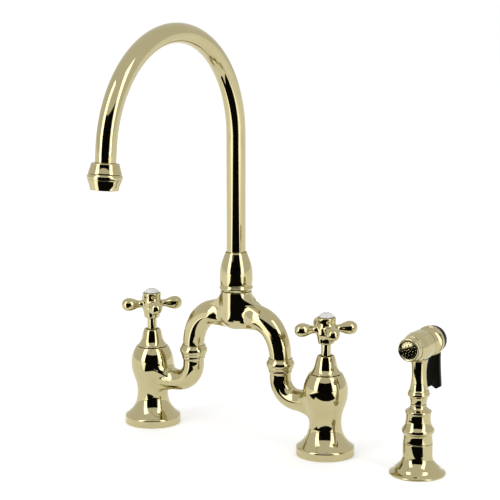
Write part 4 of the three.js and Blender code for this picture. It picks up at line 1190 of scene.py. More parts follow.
@dataclass
class Bridge(SubAssembly):
    """Casting that joins the two valves, with the trunk that carries the spout."""

    arm_height: float = 124.4
    arm_radius: float = 12.5
    arm_end_radius: float = 10.7
    arm_level: float = 15.4
    arm_drop: float = 88.1
    arm_end: float = 82.7
    trunk_radius: float = 15.5
    trunk_top: float = 149.0
    trunk_rows: tuple[float, ...] = (130.5, 137.0, 142.5, 146.5, 148.5)
    belly: float = 110.2
    belly_rows: tuple[float, ...] = (14.19, 13.4, 11.3, 6.0)
    patch: Corner = (112.0, 144.0)
    spigot_radius: float = 13.6
    spigot_top: float = 156.0
    bore: float = 10.3
    bore_floor: float = 118.0

    def outline(self) -> list[Corner]:
        """Returns the trunk's outline with rows where the arms leave.

        Returns:
            Radii and heights.
        """
        low = self.arm_height - self.belly
        belly = [
            (self.trunk_radius * math.sqrt(1 - (drop / low) ** 2), self.arm_height - drop)
            for drop in self.belly_rows
        ]
        return outline_of(
            [(0, self.belly)],
            belly,
            [(self.trunk_radius, height) for height in (self.arm_height, *self.trunk_rows, self.trunk_top)],
            [(self.spigot_radius + 0.4, self.trunk_top), (self.spigot_radius, self.trunk_top)],
            [(self.spigot_radius, self.spigot_top - 0.3), (self.spigot_radius, self.spigot_top)],
            [(self.spigot_radius - 0.4, self.spigot_top), (0, self.spigot_top)],
        )

    def arm(self) -> list[Station]:
        """Returns the rings of the right arm, sized for a cage.

        Returns:
            The stations.
        """
        share = 1 / roundness(COLUMNS)
        centre = (self.arm_level + 8, self.arm_drop)
        reach = (UNION_X - centre[0], self.arm_height - self.arm_drop)
        radii = (self.arm_radius * share, self.arm_end_radius * share)
        round_part = bend(centre, reach, 84, 0, 9, radii)
        drop = [Station(UNION_X, height, -TURN / 4, radii[1]) for height in (85.4, 83.1, self.arm_end)]
        return round_part + drop

    def build(self) -> None:
        """Models the casting and dresses it."""
        cage = Cage("bridge_casting", self.outline())
        right = self.arm()
        left = [Station(-s.along, s.up, TURN / 2 - s.heading, s.radius) for s in right]
        for bearing, arm in ((0, right), (180, left)):
            cage.open_branch(self.patch, bearing, 2)
            cage.grow_branch(arm)
        piece = cage.smooth()
        floor, above = self.bore_floor, self.spigot_top + 14
        tool = turned("cutter", [(0, floor), (self.bore, floor), (self.bore, above), (0, above)])
        self.finishes.dress(soften(cut(piece, [tool])), Slot.POLISHED_BRASS, "base", "bridge_body")


@dataclass
class Spout(SubAssembly):
    """Swivelling gooseneck with the bonnet at its foot and the outlet at its tip."""

    tube_radius: float = 9.42
    tube_bottom: float = 160.3
    column_top: float = 301.6
    bend_radius: float = 103.2
    turn: float = 174.0
    tip_drop: float = 36.6
    seat: float = 12.3
    bonnet_bottom: float = 149.5
    swivel_bottom: float = 131.0
    ring_rises: Corner = (5.0, 15.0)
    ring_sizes: Corner = (9.1, 1.0)
    ring_steps: int = 20
    screen: Corner = (1.5, 3.5)
    screen_radius: float = 10.6
    screen_holes: tuple[Ring, ...] = (Ring(1, 0.0, 1.3), Ring(6, 6.0, 1.3), Ring(6, 8.7, 0.8, 30.0))

    def tip(self) -> Place:
        """Returns the middle of the outlet's lower end.

        Returns:
            The place.
        """
        angle = math.radians(self.turn)
        along = self.bend_radius * (math.cos(angle) - 1) - self.tip_drop * math.sin(angle)
        rise = self.bend_radius * math.sin(angle) + self.tip_drop * math.cos(angle)
        return (0.0, along, self.column_top + rise)

    def build_tube(self) -> None:
        """Bends the tube."""
        radius = self.tube_radius
        middle = (-self.bend_radius, self.column_top)
        reach = (self.bend_radius, self.bend_radius)
        arch = bend(middle, reach, 0, self.turn, 72, (radius, radius))
        last = arch[-1]
        drop = self.tip_drop - self.seat
        way = Vector((math.cos(last.heading), math.sin(last.heading)))
        end = Station(last.along + drop * way.x, last.up + drop * way.y, last.heading, radius)
        stations = [Station(0, self.tube_bottom, TURN / 4, radius)] + arch + [end]
        piece = piped("gooseneck", stations, Plane.FORWARD)
        self.finishes.dress(soften(piece, 0.3), Slot.POLISHED_BRASS, "spout", "spout_tube")

    def build_bonnet(self) -> None:
        """Turns the bonnet that closes the trunk round the spout."""
        foot = self.bonnet_bottom
        outline = outline_of(
            [(13.9, foot), (15.1, foot)],
            flow((15.4, foot + 0.3), (16.6, foot + 2.9), 0, 0, 6),
            flow((16.6, foot + 2.9), (15.75, foot + 5.4), 0, 0, 6),
            [(15.55, foot + 5.5), (15.55, foot + 5.9), (15.75, foot + 6.1)],
            flow((15.75, foot + 6.1), (16.25, foot + 14.5), 12, 0, 8),
            flow((16.25, foot + 14.5), (10.5, foot + 38.1), 0, -20, 20),
            [(10.1, foot + 38.1), (9.8, foot + 37.9), (9.8, foot + 23.7)],
            [(12.7, foot + 23.7), (12.7, foot + 7.5), (13.9, foot + 7.5)],
        )
        piece = turned("spout_bonnet_cap", outline)
        self.finishes.dress(soften(piece, 0.12), Slot.POLISHED_BRASS, "base", "spout_bonnet")

    def build_swivel(self) -> None:
        """Turns the grooved shank inside the trunk and its two rubber rings."""
        foot = self.swivel_bottom
        lower_ring, upper_ring = self.ring_rises
        grooves = []
        for rise in self.ring_rises:
            low, high = foot + rise - 1.4, foot + rise + 1.4
            grooves.append([(9.9, low), (7.9, low), (7.9, high), (9.9, high)])
        outline = outline_of(
            [(6.5, foot), (9.5, foot), (9.9, foot + 0.4)],
            *grooves,
            [(9.9, 156.3), (12.2, 156.3), (12.2, 172), (9.8, 172), (9.8, 160), (6.5, 160)],
        )
        piece = turned("swivel_shank", outline)
        self.finishes.dress(soften(piece, 0.15), Slot.PLAIN_BRASS, "spout", "spout_shank")
        lower = self.o_ring("lower_seal_ring", foot + lower_ring)
        upper = moved(copied(lower, "upper_seal_ring"), (0, 0, upper_ring - lower_ring))
        self.finishes.dress(lower, Slot.RUBBER, "spout", "lower_o_ring")
        self.finishes.dress(upper, Slot.RUBBER, "spout", "upper_o_ring")

    def o_ring(self, name: str, height: float) -> Piece:
        """Turns a round rubber ring.

        Args:
            name: Name of the ring.
            height: Height of its middle.

        Returns:
            The ring.
        """
        radius, wire = self.ring_sizes
        turns = [TURN * step / self.ring_steps for step in range(self.ring_steps)]
        corners = [(radius + wire * math.cos(turn), height + wire * math.sin(turn)) for turn in turns]
        return soften(turned(name, corners), angle=60)

    def build_outlet(self) -> None:
        """Turns the collar, the housing and the screen, and leans them with the tip."""
        collar = outline_of(
            [(7.8, 5.7), (10.5, 5.7), (10.7, 5.9), (10.7, 14.1), (14.5, 14.1), (14.75, 14.25), (14.85, 14.5)],
            flow((14.85, 14.5), (12.6, 22.6), -17, -13, 14),
            dome((12.6, 22.6), (10.6, 23.9), 8),
            [(10.3, 24), (9.8, 24), (9.8, 12), (7.8, 12)],
        )
        housing = outline_of(
            [(10, 0), (12.3, 0), (12.6, 0.15), (12.7, 0.45), (12.75, 0.9)],
            flow((12.75, 0.9), (14.95, 8.4), 8, 16, 12),
            [(15.1, 8.75), (15.08, 8.95), (14.9, 9.1), (14.95, 9.25), (15.25, 9.4)],
            flow((15.25, 9.4), (15.75, 11.4), 24, 0, 8),
            flow((15.75, 11.4), (15.0, 13.5), 0, -26, 8),
            [(14.75, 13.75), (14.4, 13.9), (11, 13.9), (11, 1.2), (10.2, 1.2), (10, 1.0)],
        )
        tip = self.tip()
        lean = self.turn - 180
        for name, outline, node in (
            ("outlet_collar_turned", collar, "outlet_collar"),
            ("aerator_shell", housing, "aerator_housing"),
        ):
            piece = soften(turned(name, outline, tip), 0.12)
            self.finishes.dress(lay_down(piece, tip, lean, "X"), Slot.POLISHED_BRASS, "spout", node)
        (low, high), radius = self.screen, self.screen_radius
        screen = turned("flow_screen", [(0, low), (radius, low), (radius, high), (0, high)], tip)
        for ring in self.screen_holes:
            cut(screen, hole_tools(tip, ring, (low - 1.5, high + 1.5), 20))
        piece = lay_down(soften(screen, 0.1), tip, lean, "X")
        self.finishes.dress(piece, Slot.NYLON, "spout", "aerator_screen")

    def build(self) -> None:
        """Builds every piece of the spout."""
        self.build_tube()
        self.build_bonnet()
        self.build_swivel()
        self.build_outlet()


@dataclass
class Valve(SubAssembly):
    """Valve with its turned body, elbow, union ring, bonnet cone and stem."""

    flange: float = 28.3
    waist: Corner = (15.6, 33.0)
    bulb: Corner = (21.6, 62.0)
    shoulder: Corner = (16.2, 80.0)
    elbow_height: float = 48.6
    elbow_bend: float = 19.5
    elbow_radius: float = 10.55
    patch: Corner = (36.0, 61.0)
    chamber: Corner = (42.0, 82.0)
    stem_bottom: float = 50.9

    def outline(self) -> list[Corner]:
        """Returns the body's outline with rows where the elbow leaves.

        Returns:
            Radii and heights.
        """
        flange = self.flange
        return outline_of(
            [(0, 0), (flange - 1.2, 0), (flange - 0.3, 0.1), (flange, 0.5), (flange, 1.6), (flange, 5.6)],
            [(flange, 6.8), (flange - 0.2, 7.7), (flange - 0.7, 8.5), (flange - 1.3, 8.95)],
            flow((flange - 1.8, 9.3), self.waist, -52, 0, 7),
            flow(self.waist, self.bulb, 0, 0, 8),
            flow(self.bulb, self.shoulder, 0, -30, 6),
            [(self.shoulder[0] - 0.5, self.shoulder[1]), (13.0, self.shoulder[1]), (0, self.shoulder[1])],
        )

    def elbow(self) -> list[Station]:
        """Returns the rings of the right valve's elbow, sized for a cage.

        Returns:
            The stations.
        """
        share = 1 / roundness(COLUMNS)
        turn_at = VALVE_X - UNION_X - self.elbow_bend
        middle = (-turn_at, self.elbow_height + self.elbow_bend)
        reach = (self.elbow_bend, self.elbow_bend)
        radius = self.elbow_radius * share
        curve = bend(middle, reach, -90, -180, 8, (radius, radius))
        level = [
            Station(-25.5, self.elbow_height, TURN / 2, 11.25 * share),
            Station(-28.5, self.elbow_height, TURN / 2, 10.75 * share),
        ]
        rise = [(10.55, 70.6), (10.55, 72.4), (10.75, 73.2), (11.3, 73.9), (11.6, 74.6), (11.6, 76.2)]
        rise += [(11.55, 76.5), (11.0, 76.5), (10.9, 76.9), (10.9, 80.4), (10.7, 80.9)]
        axis = -(VALVE_X - UNION_X)
        return level + curve + [Station(axis, height, TURN / 4, wide * share) for wide, height in rise]

    def build_body(self) -> None:
        """Casts the right body with its elbow, and mirrors it for the left."""
        cage = Cage("right_valve_casting", self.outline(), RIGHT)
        cage.open_branch(self.patch, 180, 2)
        cage.grow_branch(self.elbow(), RIGHT)
        right = cage.smooth()
        gasket = turned("cutter", [(0, -1), (24.7, -1), (24.7, 2), (10.5, 2), (10.5, 14), (0, 14)], RIGHT)
        low, high = self.chamber
        chamber = turned("cutter", [(0, low), (11, low), (11, high), (0, high)], RIGHT)
        soften(cut(right, [gasket, chamber]))
        left = soften(mirrored(right, "left_valve_casting"))
        self.finishes.dress_pair(right, left, Slot.POLISHED_BRASS, "base", "right_valve_body")

    def build_union(self) -> None:
        """Turns the ring nut that draws the bridge down on each elbow."""
        outline = outline_of(
            [(11.3, 76.8), (11.9, 76.8), (12.2, 77.1)],
            flow((12.2, 77.1), (12.95, 79.2), 4, 26, 6),
            [(12.85, 79.35), (12.85, 79.65), (13.05, 79.8)],
            flow((13.05, 79.8), (13.9, 82.2), 24, 0, 7),
            flow((13.9, 82.2), (12.0, 87.0), 0, -26, 10),
            [(11.85, 87.1), (11.85, 87.3), (11.95, 87.45), (11.9, 87.8), (11.6, 88.0)],
            [(11.0, 88.0), (11.0, 86), (11.9, 86), (11.9, 81.2), (11.2, 81.2)],
        )
        right = soften(turned("right_union_nut", outline, (UNION_X, 0, 0)), 0.08)
        left = left_twin(right, (-2 * UNION_X, 0, 0))
        self.finishes.dress_pair(right, left, Slot.POLISHED_BRASS, "base", "right_union_ring")

    def build_cone(self) -> None:
        """Turns the bonnet cone that holds the cartridge down."""
        outline = outline_of(
            [(8, 71), (10.4, 71), (10.7, 71.3), (10.7, 80.3), (14.5, 80.3), (14.8, 80.6)],
            flow((14.75, 80.9), (8.4, 97.0), -46, -23, 20),
            dome((8.35, 97.1), (7.9, 97.5), 4),
            [(6.9, 97.5), (6.5, 97.1), (6.5, 94.5), (5.0, 94.5), (5.0, 85), (8, 85)],
        )
        right = soften(turned("right_valve_bonnet", outline, RIGHT), 0.1)
        self.finishes.dress_pair(right, left_twin(right), Slot.POLISHED_BRASS, "base", "right_bonnet_cone")

    def build_stem(self) -> None:
        """Turns the stem, whose neck shows between the bonnet and the handle."""
        bottom = self.stem_bottom
        outline = outline_of(
            [(0, bottom), (7.2, bottom), (7.2, bottom + 3.1), (4.2, bottom + 3.1), (4.2, 84.9)],
            [(4.7, 85.4), (4.7, 108.6), (4.4, 108.9), (3.8, 108.9), (3.8, 120.7)],
            [(3.5, 121), (1.9, 121), (1.9, 113), (0, 113)],
        )
        right = soften(turned("right_stem", outline, RIGHT, 48), 0.1)
        left = left_twin(right)
        self.finishes.dress_pair(right, left, Slot.POLISHED_BRASS, "right_handle", "right_valve_stem")

    def build(self) -> None:
        """Builds every piece of both valves."""
        self.build_body()
        self.build_union()
        self.build_cone()
        self.build_stem()


@dataclass
class CrossHandle(SubAssembly):
    """Four-armed handle with a white button in its rim."""

    arm_height: float = 123.4
    arms: int = 4
    first_arm: float = 45.0
    patch: Corner = (120.3, 126.5)
    # Reach and radius of each ring of an arm, from the hub out.
    arm_rings: tuple[Corner, ...] = (
        (11.2, 3.75), (12.6, 3.65), (14.2, 3.95), (16.2, 4.75), (18.4, 5.7), (20.6, 6.4),
        (22.6, 6.72), (24.6, 6.72), (26.6, 6.2), (28.4, 5.2), (29.7, 3.9), (30.5, 2.3),
    )
    arm_end: float = 30.8

    def outline(self) -> list[Corner]:
        """Returns the hub's outline with rows where the arms leave.

        Returns:
            Radii and heights.
        """
        return outline_of(
            [(0, 109.2), (6.2, 109.2), (7.0, 109.35), (7.6, 109.9)],
            [(7.95, 110.8), (8.1, 111.8), (8.25, 112.8)],
            flow((8.4, 114.0), (9.7, 118.6), 10, 14, 3),
            [(9.8, 120.2), (9.8, 123.4), (9.75, 126.6), (9.35, 128.2)],
            flow((9.05, 129.3), (9.35, 133.3), -6, 0, 4),
            [(9.35, 134.0), (9.2, 134.6), (8.8, 134.95), (8.3, 135), (7.95, 134.9), (7.7, 134.5)],
            [(7.6, 134.0), (7.6, 132.0), (7.6, 129.4), (7.5, 129.0), (7.0, 129.0), (0, 129.0)],
        )

    def build(self) -> None:
        """Models one handle and copies it."""
        cage = Cage("right_handle_casting", self.outline(), RIGHT)
        for number in range(self.arms):
            bearing = self.first_arm + 360 / self.arms * number
            cage.open_branch(self.patch, bearing, 1)
            self.add_arm(cage, bearing)
        piece = cage.smooth()
        socket = turned("cutter", [(0, 100), (4.1, 100), (4.1, 121.3), (0, 121.3)], RIGHT)
        soften(cut(piece, [socket]))
        left = left_twin(piece)
        self.finishes.dress_pair(piece, left, Slot.POLISHED_BRASS, "right_handle", "right_cross_handle")
        button = outline_of(
            [(0, 135.0), (6.9, 135.0), (7.2, 135.2), (7.3, 135.5)],
            dome((7.3, 135.5), (0, 139.5), 20),
        )
        right = soften(turned("right_button", button, RIGHT), angle=40)
        left = left_twin(right)
        self.finishes.dress_pair(right, left, Slot.PORCELAIN, "right_handle", "right_index_button")

    def add_arm(self, cage: Cage, bearing: float) -> None:
        """Grows one arm from the hub, ring by ring.

        Args:
            cage: The hub.
            bearing: Direction of the arm in degrees from +X.
        """
        share = 1 / roundness(ARM_COLUMNS)
        angle = math.radians(bearing)
        way = Vector((math.cos(angle), math.sin(angle), 0))
        middle = Vector(RIGHT) + Vector((0, 0, self.arm_height))
        edit(cage.piece)
        first = self.arm_rings[0]
        bpy.ops.mesh.primitive_circle_add(
            vertices=ARM_COLUMNS,
            radius=first[1] * share * MM,
            fill_type="NOTHING",
            location=(middle + way * first[0]) * MM,
            rotation=(TURN / 4, 0, angle + TURN / 4),
        )
        bpy.ops.mesh.select_mode(type="EDGE")
        for before, after in zip(self.arm_rings, self.arm_rings[1:]):
            centre = (middle + way * after[0]) * MM
            step = (after[0] - before[0]) * MM
            bpy.ops.mesh.extrude_edges_move(TRANSFORM_OT_translate={"value": way * step})
            scale = after[1] / before[1]
            bpy.ops.transform.resize(value=(scale, scale, scale), center_override=centre)
        step = (self.arm_end - self.arm_rings[-1][0]) * MM
        bpy.ops.mesh.extrude_edges_move(TRANSFORM_OT_translate={"value": way * step})
        bpy.ops.mesh.merge(type="CENTER")
        pick_open_edges()
        bpy.ops.mesh.bridge_edge_loops(number_cuts=0)
        bpy.ops.mesh.select_mode(type="VERT")
        done()


@dataclass
class DeckMount(SubAssembly):
    """Threaded shank, gasket, washer and nut that clamp a fitting to the counter."""

    centre: Place
    names: tuple[str, str, str, str]
    nodes: tuple[str, str, str, str]
    shank_radius: float
    shank_top: float
    shank_bottom: float
    gasket: Corner
    washer_radius: float
    nut_reach: float
    nut_height: float
    washer_height: float = 2.0
    ease: float = 0.3
    bore: float = 5.0

    def thread(self) -> list[Corner]:
        """Returns the shank's outline with its thread.

        Returns:
            Radii and heights.
        """
        radius, bottom, top = self.shank_radius, self.shank_bottom, self.shank_top
        return outline_of(
            [(self.bore + 0.4, bottom), (radius - 1.2, bottom), (radius - 0.75, bottom + 0.5)],
            thread_ridges(radius, bottom, PITCH),
            [(radius - 0.75, -0.5), (radius, 0.2), (radius, top)],
            [(self.bore, top), (self.bore, bottom + 0.4)],
        )

    def nut(self) -> Piece:
        """Makes the hexagon nut with its chamfered corners.

        Returns:
            The nut.
        """
        top = -COUNTER - self.washer_height - self.ease
        bottom = top - self.nut_height
        reach = self.nut_reach
        hole = self.shank_radius + self.ease
        blank = outline_of(
            [(hole + 0.8, bottom), (reach * 0.88, bottom), (reach, bottom + 1.3), (reach, top - 1.3)],
            [(reach * 0.88, top), (hole + 0.8, top), (hole, top - 0.8), (hole, bottom + 0.8)],
        )
        clear_selection()
        middle = Vector(self.centre) + Vector((0, 0, (top + bottom) / 2))
        depth = (self.nut_height + 2) * MM
        bpy.ops.mesh.primitive_cylinder_add(vertices=6, radius=reach * MM, depth=depth, location=middle * MM)
        prism = settle(bpy.context.object, "cutter")
        return cut(turned(self.names[3], blank, self.centre), [prism], "INTERSECT")

    def build(self, has_twin: bool = False) -> None:
        """Builds the mount.

        Args:
            has_twin: Whether the left valve has the same mount.
        """
        pieces: list[tuple[Piece, Slot, str]] = []
        if self.nodes[0]:
            shank = soften(turned(self.names[0], self.thread(), self.centre, 64), angle=24)
            pieces.append((shank, Slot.PLAIN_BRASS, self.nodes[0]))
        outer, inner = self.gasket
        rubber = [(inner, 0.2), (inner + 0.2, 0), (outer - 0.3, 0), (outer, 0.3)]
        rubber += [(outer, 1.4), (outer - 0.3, 1.7), (inner, 1.7)]
        pieces.append((soften(turned(self.names[1], rubber, self.centre)), Slot.RUBBER, self.nodes[1]))
        radius, hole = self.washer_radius, self.shank_radius + self.ease
        top, under = -COUNTER, -COUNTER - self.washer_height
        plate = [(hole, under), (radius - 0.4, under), (radius, under + 0.4)]
        plate += [(radius, top - 0.4), (radius - 0.4, top), (hole, top)]
        washer = soften(turned(self.names[2], plate, self.centre), 0.1)
        pieces.append((washer, Slot.STEEL, self.nodes[2]))
        pieces.append((soften(self.nut(), 0.2), Slot.PLAIN_BRASS, self.nodes[3]))
        for piece, slot, node in pieces:
            self.finishes.dress(piece, slot, "base", node)
        if has_twin:
            for piece, slot, node in pieces:
                self.finishes.dress(left_twin(piece), slot, "base", left_name(node))


@dataclass
class SprayerHolder(SubAssembly):
    """Flanged holder in the deck, with its plastic liner."""

    centre: Place = SPRAYER
    shank_radius: float = 13.0
    bottom: float = -48.0
    top: float = 29.8

    def build(self) -> None:
        """Turns the holder and its liner."""
        radius, bottom, top = self.shank_radius, self.bottom, self.top
        outline = outline_of(
            [(9.8, bottom + 0.4), (10.2, bottom), (11.8, bottom), (12.25, bottom + 0.5)],
            thread_ridges(radius, bottom, PITCH),
            [(12.25, -0.5), (radius, 0.2), (radius, 2), (21.8, 2), (21.8, 0)],
            [(26.2, 0), (26.4, 0.2), (26.4, 1.3), (26.2, 1.7)],
            flow((26.2, 1.7), (21.3, 5.9), -48, -30, 14),
            [(21.15, 6.05), (21.0, 6.2), (20.9, 6.5)],
            flow((20.9, 6.5), (13.95, 18), -46, 0, 20),
            [(13.95, top - 0.9), (13.93, top - 0.3), (13.8, top - 0.05), (13.4, top)],
            [(12.4, top), (12, top - 0.4), (12, 8), (9.8, 8)],
        )
        holder = soften(turned("sprayer_deck_holder", outline, self.centre), 0.1)
        self.finishes.dress(holder, Slot.POLISHED_BRASS, "base", "sprayer_holder")
        liner = [(10.6, 8.3), (11.5, 8.3), (11.7, 8.5), (11.7, top - 0.2)]
        liner += [(11.5, top), (10.8, top), (10.3, top - 0.6), (10.3, 8.6)]
        piece = soften(turned("holder_sleeve", liner, self.centre), 0.08)
        self.finishes.dress(piece, Slot.NYLON, "base", "holder_liner")


@dataclass
class Sprayer(SubAssembly):
    """Side sprayer: hose coupling, grip, head, spray face, rear cap and lever."""

    centre: Place = SPRAYER
    barrel_height: float = 122.1
    neck_patch: float = 8.2
    # Radius and height of each ring of the neck, from the barrel down into the grip.
    neck: tuple[Corner, ...] = (
        (8.0, 108.2), (7.5, 105.6), (7.1, 102.6), (6.85, 99.4), (6.8, 96.2), (6.9, 92.8), (7.2, 89.4),
        (7.6, 86), (8.2, 83), (8.5, 81.2), (8.75, 80.4), (9.2, 79.9), (9.6, 79.4), (9.7, 78.9),
        (9.75, 78.3), (10.15, 77.7), (10.45, 77.1), (10.52, 76.3), (10.45, 75.5), (10.1, 75.0),
        (9.4, 74.2), (8.6, 72.8), (8.0, 70.6), (7.6, 68.8), (7.55, 67.6), (7.45, 67.2), (7.1, 67.1),
        (5.7, 67.1), (5.4, 66.8), (5.4, 62), (5.4, 55.5), (5.1, 55.3),
    )
    face_holes: tuple[Ring, ...] = (Ring(8, 4.0, 0.6), Ring(16, 6.8, 0.5, 11.25), Ring(4, 1.6, 0.5))
    pin_back: float = 27.7
    pin_rise: float = 6.1
    pin_half: float = 10.5
    slot_half: float = 7.8
    slot_depth: Corner = (23.6, 30.9)
    slot_rise: Corner = (-14.0, 9.4)
    lever_front: float = 25.8
    lever_thickness: float = 3.8
    lever_halves: Corner = (7.5, 9.0)
    lever_shoulder: float = 106.0
    lever_foot: float = 78.8
    lever_corner: float = 3.0
    lever_lobe: float = 2.0
    channel_half: float = 4.5
    channel_depth: float = 0.9
    channel_rise: Corner = (83.6, 122.0)

    @property
    def barrel(self) -> Place:
        """Middle of the barrel."""
        return (self.centre[0], self.centre[1], self.barrel_height)

    def forward(self, name: str, outline: Sequence[Corner], width: float) -> Piece:
        """Turns a piece of the barrel, whose outline gives the reach towards the front.

        Args:
            name: Name of the piece.
            outline: Radii and reaches.
            width: Width of its edges' rounding.

        Returns:
            The piece.
        """
        piece = turned(name, outline, self.barrel)
        return soften(lay_down(piece, self.barrel, 90, "X"), width)

    def build_grip(self) -> None:
        """Turns the grip and the hose coupling under it."""
        outline = outline_of(
            [(5.2, 12.5), (9.5, 12.5), (9.9, 12.9), (9.9, 30.0), (13.5, 30.0), (13.8, 30.1), (13.88, 30.4)],
            flow((13.88, 30.4), (13.4, 37.2), -8, 0, 8),
            flow((13.4, 37.2), (14.5, 39.5), 8, 44, 8),
            flow((14.5, 39.5), (15.3, 41.4), 36, 0, 8),
            [(15.3, 42.2), (15.2, 42.8), (15.0, 43.3)],
            flow((14.9, 43.5), (11.65, 54.5), -36, 0, 20),
            flow((11.65, 54.5), (11.75, 57.4), 0, 6, 5),
            [(11.8, 57.8), (12.05, 58.1), (12.35, 58.7), (12.42, 59.5), (12.38, 60.2), (12.15, 60.7)],
            flow((12.15, 60.7), (7.6, 66.2), -60, 0, 18),
            [(7.55, 66.5), (7.35, 66.8), (5.8, 66.8), (5.8, 55), (5.2, 55)],
        )
        piece = soften(turned("sprayer_handgrip", outline, self.centre), 0.08)
        self.finishes.dress(piece, Slot.POLISHED_BRASS, "sprayer", "sprayer_grip")
        ridges = []
        for step in range(9):
            height = -8.5 + 1.2 * step
            ridges += [(8.3, height), (7.7, height + 0.5)]
        coupling = outline_of(
            [(3.2, -9.7), (3.5, -10), (7.8, -10), (8.3, -9.5)],
            ridges,
            [(8.5, 3), (8.5, 11.9), (8.2, 12.2), (4.7, 12.2), (4.7, 23.2), (4.4, 23.5), (3.2, 23.5)],
        )
        piece = soften(turned("hose_end_coupling", coupling, self.centre, 64), 0.08, 24)
        self.finishes.dress(piece, Slot.PLAIN_BRASS, "hose_end", "hose_coupling")

    def head_outline(self) -> list[Corner]:
        """Returns the barrel's outline with rows where the neck leaves.

        Returns:
            Radii and reaches towards the front.
        """
        return outline_of(
            [(0, -23), (13.5, -23), (14.05, -22.9), (14.2, -22.5)],
            [(14.2, -20.3), (14.0, -19.7), (13.5, -19.3)],
            flow((13.0, -18.8), (10.4, -13.0), -44, 0, 4),
            flow((10.4, -13.0), (12.7, -6.4), 0, 46, 4),
            [(13.75, -4.0), (13.95, 0), (13.9, 3.4)],
            flow((13.75, 6.4), (11.95, 14.6), -5, -19, 5),
            [(11.85, 15.2), (11.65, 15.75), (11.2, 16.0), (10.3, 16.0), (0, 16)],
        )

    def build_head(self) -> None:
        """Casts the barrel and its neck in one."""
        cage = Cage("sprayer_head_casting", self.head_outline(), self.barrel)
        cage.piece = lay_down(cage.piece, self.barrel, 90, "X")
        self.open_neck(cage)
        share = 1 / roundness(COLUMNS)
        stations = [Station(0, height, -TURN / 4, radius * share) for radius, height in self.neck]
        cage.grow_branch(stations, self.centre)
        piece = cage.smooth()
        front = self.cutter([(0, 9), (9, 9), (9, 20), (0, 20)])
        bore = [(0, -30), (11, -30), (11, -20), (8.8, -20), (8.8, -12), (7, -12), (7, 9.5), (0, 9.5)]
        rear = self.cutter(bore)
        soften(cut(piece, [front, rear]))
        self.finishes.dress(piece, Slot.POLISHED_BRASS, "sprayer", "sprayer_head")
        band = [(13.2, 4.6), (13.85, 4.6), (13.98, 4.9), (13.98, 5.5), (13.8, 5.8), (13.2, 5.8)]
        self.finishes.dress(self.forward("barrel_band", band, 0.08), Slot.POLISHED_BRASS, "sprayer")
        lip = [(12.4, -5.3), (13.5, -5.1), (13.9, -4.85), (13.98, -4.5)]
        lip += [(13.92, -3.9), (13.6, -3.4), (12.4, -3.2)]
        self.finishes.dress(self.forward("barrel_lip", lip, 0.08), Slot.POLISHED_BRASS, "sprayer")

    def open_neck(self, cage: Cage) -> None:
        """Takes out the corners under the barrel where the neck leaves.

        Args:
            cage: Cage of the barrel.
        """

        def inside(corner: Vector) -> bool:
            """Says whether a corner lies in the neck's patch.

            Args:
                corner: The corner, in millimetres.

            Returns:
                Whether it does.
            """
            out = corner - Vector(self.barrel)
            if abs(out.y) > self.neck_patch or math.hypot(out.x, out.z) < 1:
                return False
            turn = math.remainder(math.atan2(out.z, out.x) + TURN / 4, TURN)
            return abs(turn) < 1.5 * TURN / COLUMNS

        edit(cage.piece)
        LOG.info("neck patch: %d corners", pick(inside))
        bpy.ops.mesh.delete(type="VERT")
        done()

    def cutter(self, outline: Sequence[Corner]) -> Piece:
        """Makes a cutter along the barrel."""
        return lay_down(turned("cutter", outline, self.barrel, 64), self.barrel, 90, "X")

    def build_face(self) -> None:
        """Turns the spray face and drills its rings of holes."""
        outline = outline_of(
            [(0, 20.2), (5.2, 20.2), (5.2, 9.3), (8.4, 9.3), (8.7, 9.6), (8.7, 16.3), (11.0, 16.3)],
            [(11.3, 16.5), (11.35, 17.1), (11.2, 17.3), (11.2, 17.6), (11.38, 17.8)],
            flow((11.38, 17.8), (11.0, 21.4), 2, -12, 8),
            [(10.85, 22.0), (10.5, 22.45), (10.0, 22.6), (9.5, 22.5), (9.15, 22.2), (8.95, 21.95)],
            flow((8.7, 21.9), (0, 22.35), -86, -90, 8),
        )
        plate = turned("perforated_face", outline, self.barrel)
        holes = []
        for ring in self.face_holes:
            holes += hole_tools(self.barrel, ring, (18, 24), 16)
        piece = soften(lay_down(cut(plate, holes), self.barrel, 90, "X"), 0.05)
        self.finishes.dress(piece, Slot.POLISHED_BRASS, "sprayer", "spray_face")

    def build_cap(self) -> None:
        """Turns the black cap at the rear and mills the lever's slot."""
        outline = outline_of(
            [(0, -12.4), (8.4, -12.4), (8.4, -20.4), (10.7, -20.4), (10.7, -23.6), (12.5, -23.6)],
            [(12.8, -23.9), (12.8, -24.6), (12.6, -24.8), (12.6, -25.2), (12.8, -25.4), (12.8, -29.4)],
            dome((12.8, -29.6), (10.2, -32.2), 10),
            [(0, -32.2)],
        )
        across, along, up = self.barrel
        cap = self.forward("rear_cap_moulding", outline, 0.0)
        low = (across - self.slot_half, along + self.slot_depth[0], up + self.slot_rise[0])
        high = (across + self.slot_half, along + self.slot_depth[1], up + self.slot_rise[1])
        piece = soften(cut(cap, [box_tool(low, high)]), 0.15)
        self.finishes.dress(piece, Slot.BLACK_PLASTIC, "sprayer", "rear_cap")
        half = self.pin_half
        pin = [(0, -half), (1.0, -half), (1.2, 0.2 - half), (1.2, half - 0.2), (1.0, half), (0, half)]
        middle = (across, along + self.pin_back, up + self.pin_rise)
        piece = lay_down(turned("lever_hinge_pin", pin, middle, 32), middle, 90, "Y")
        self.finishes.dress(soften(piece), Slot.STEEL, "sprayer", "lever_pin")

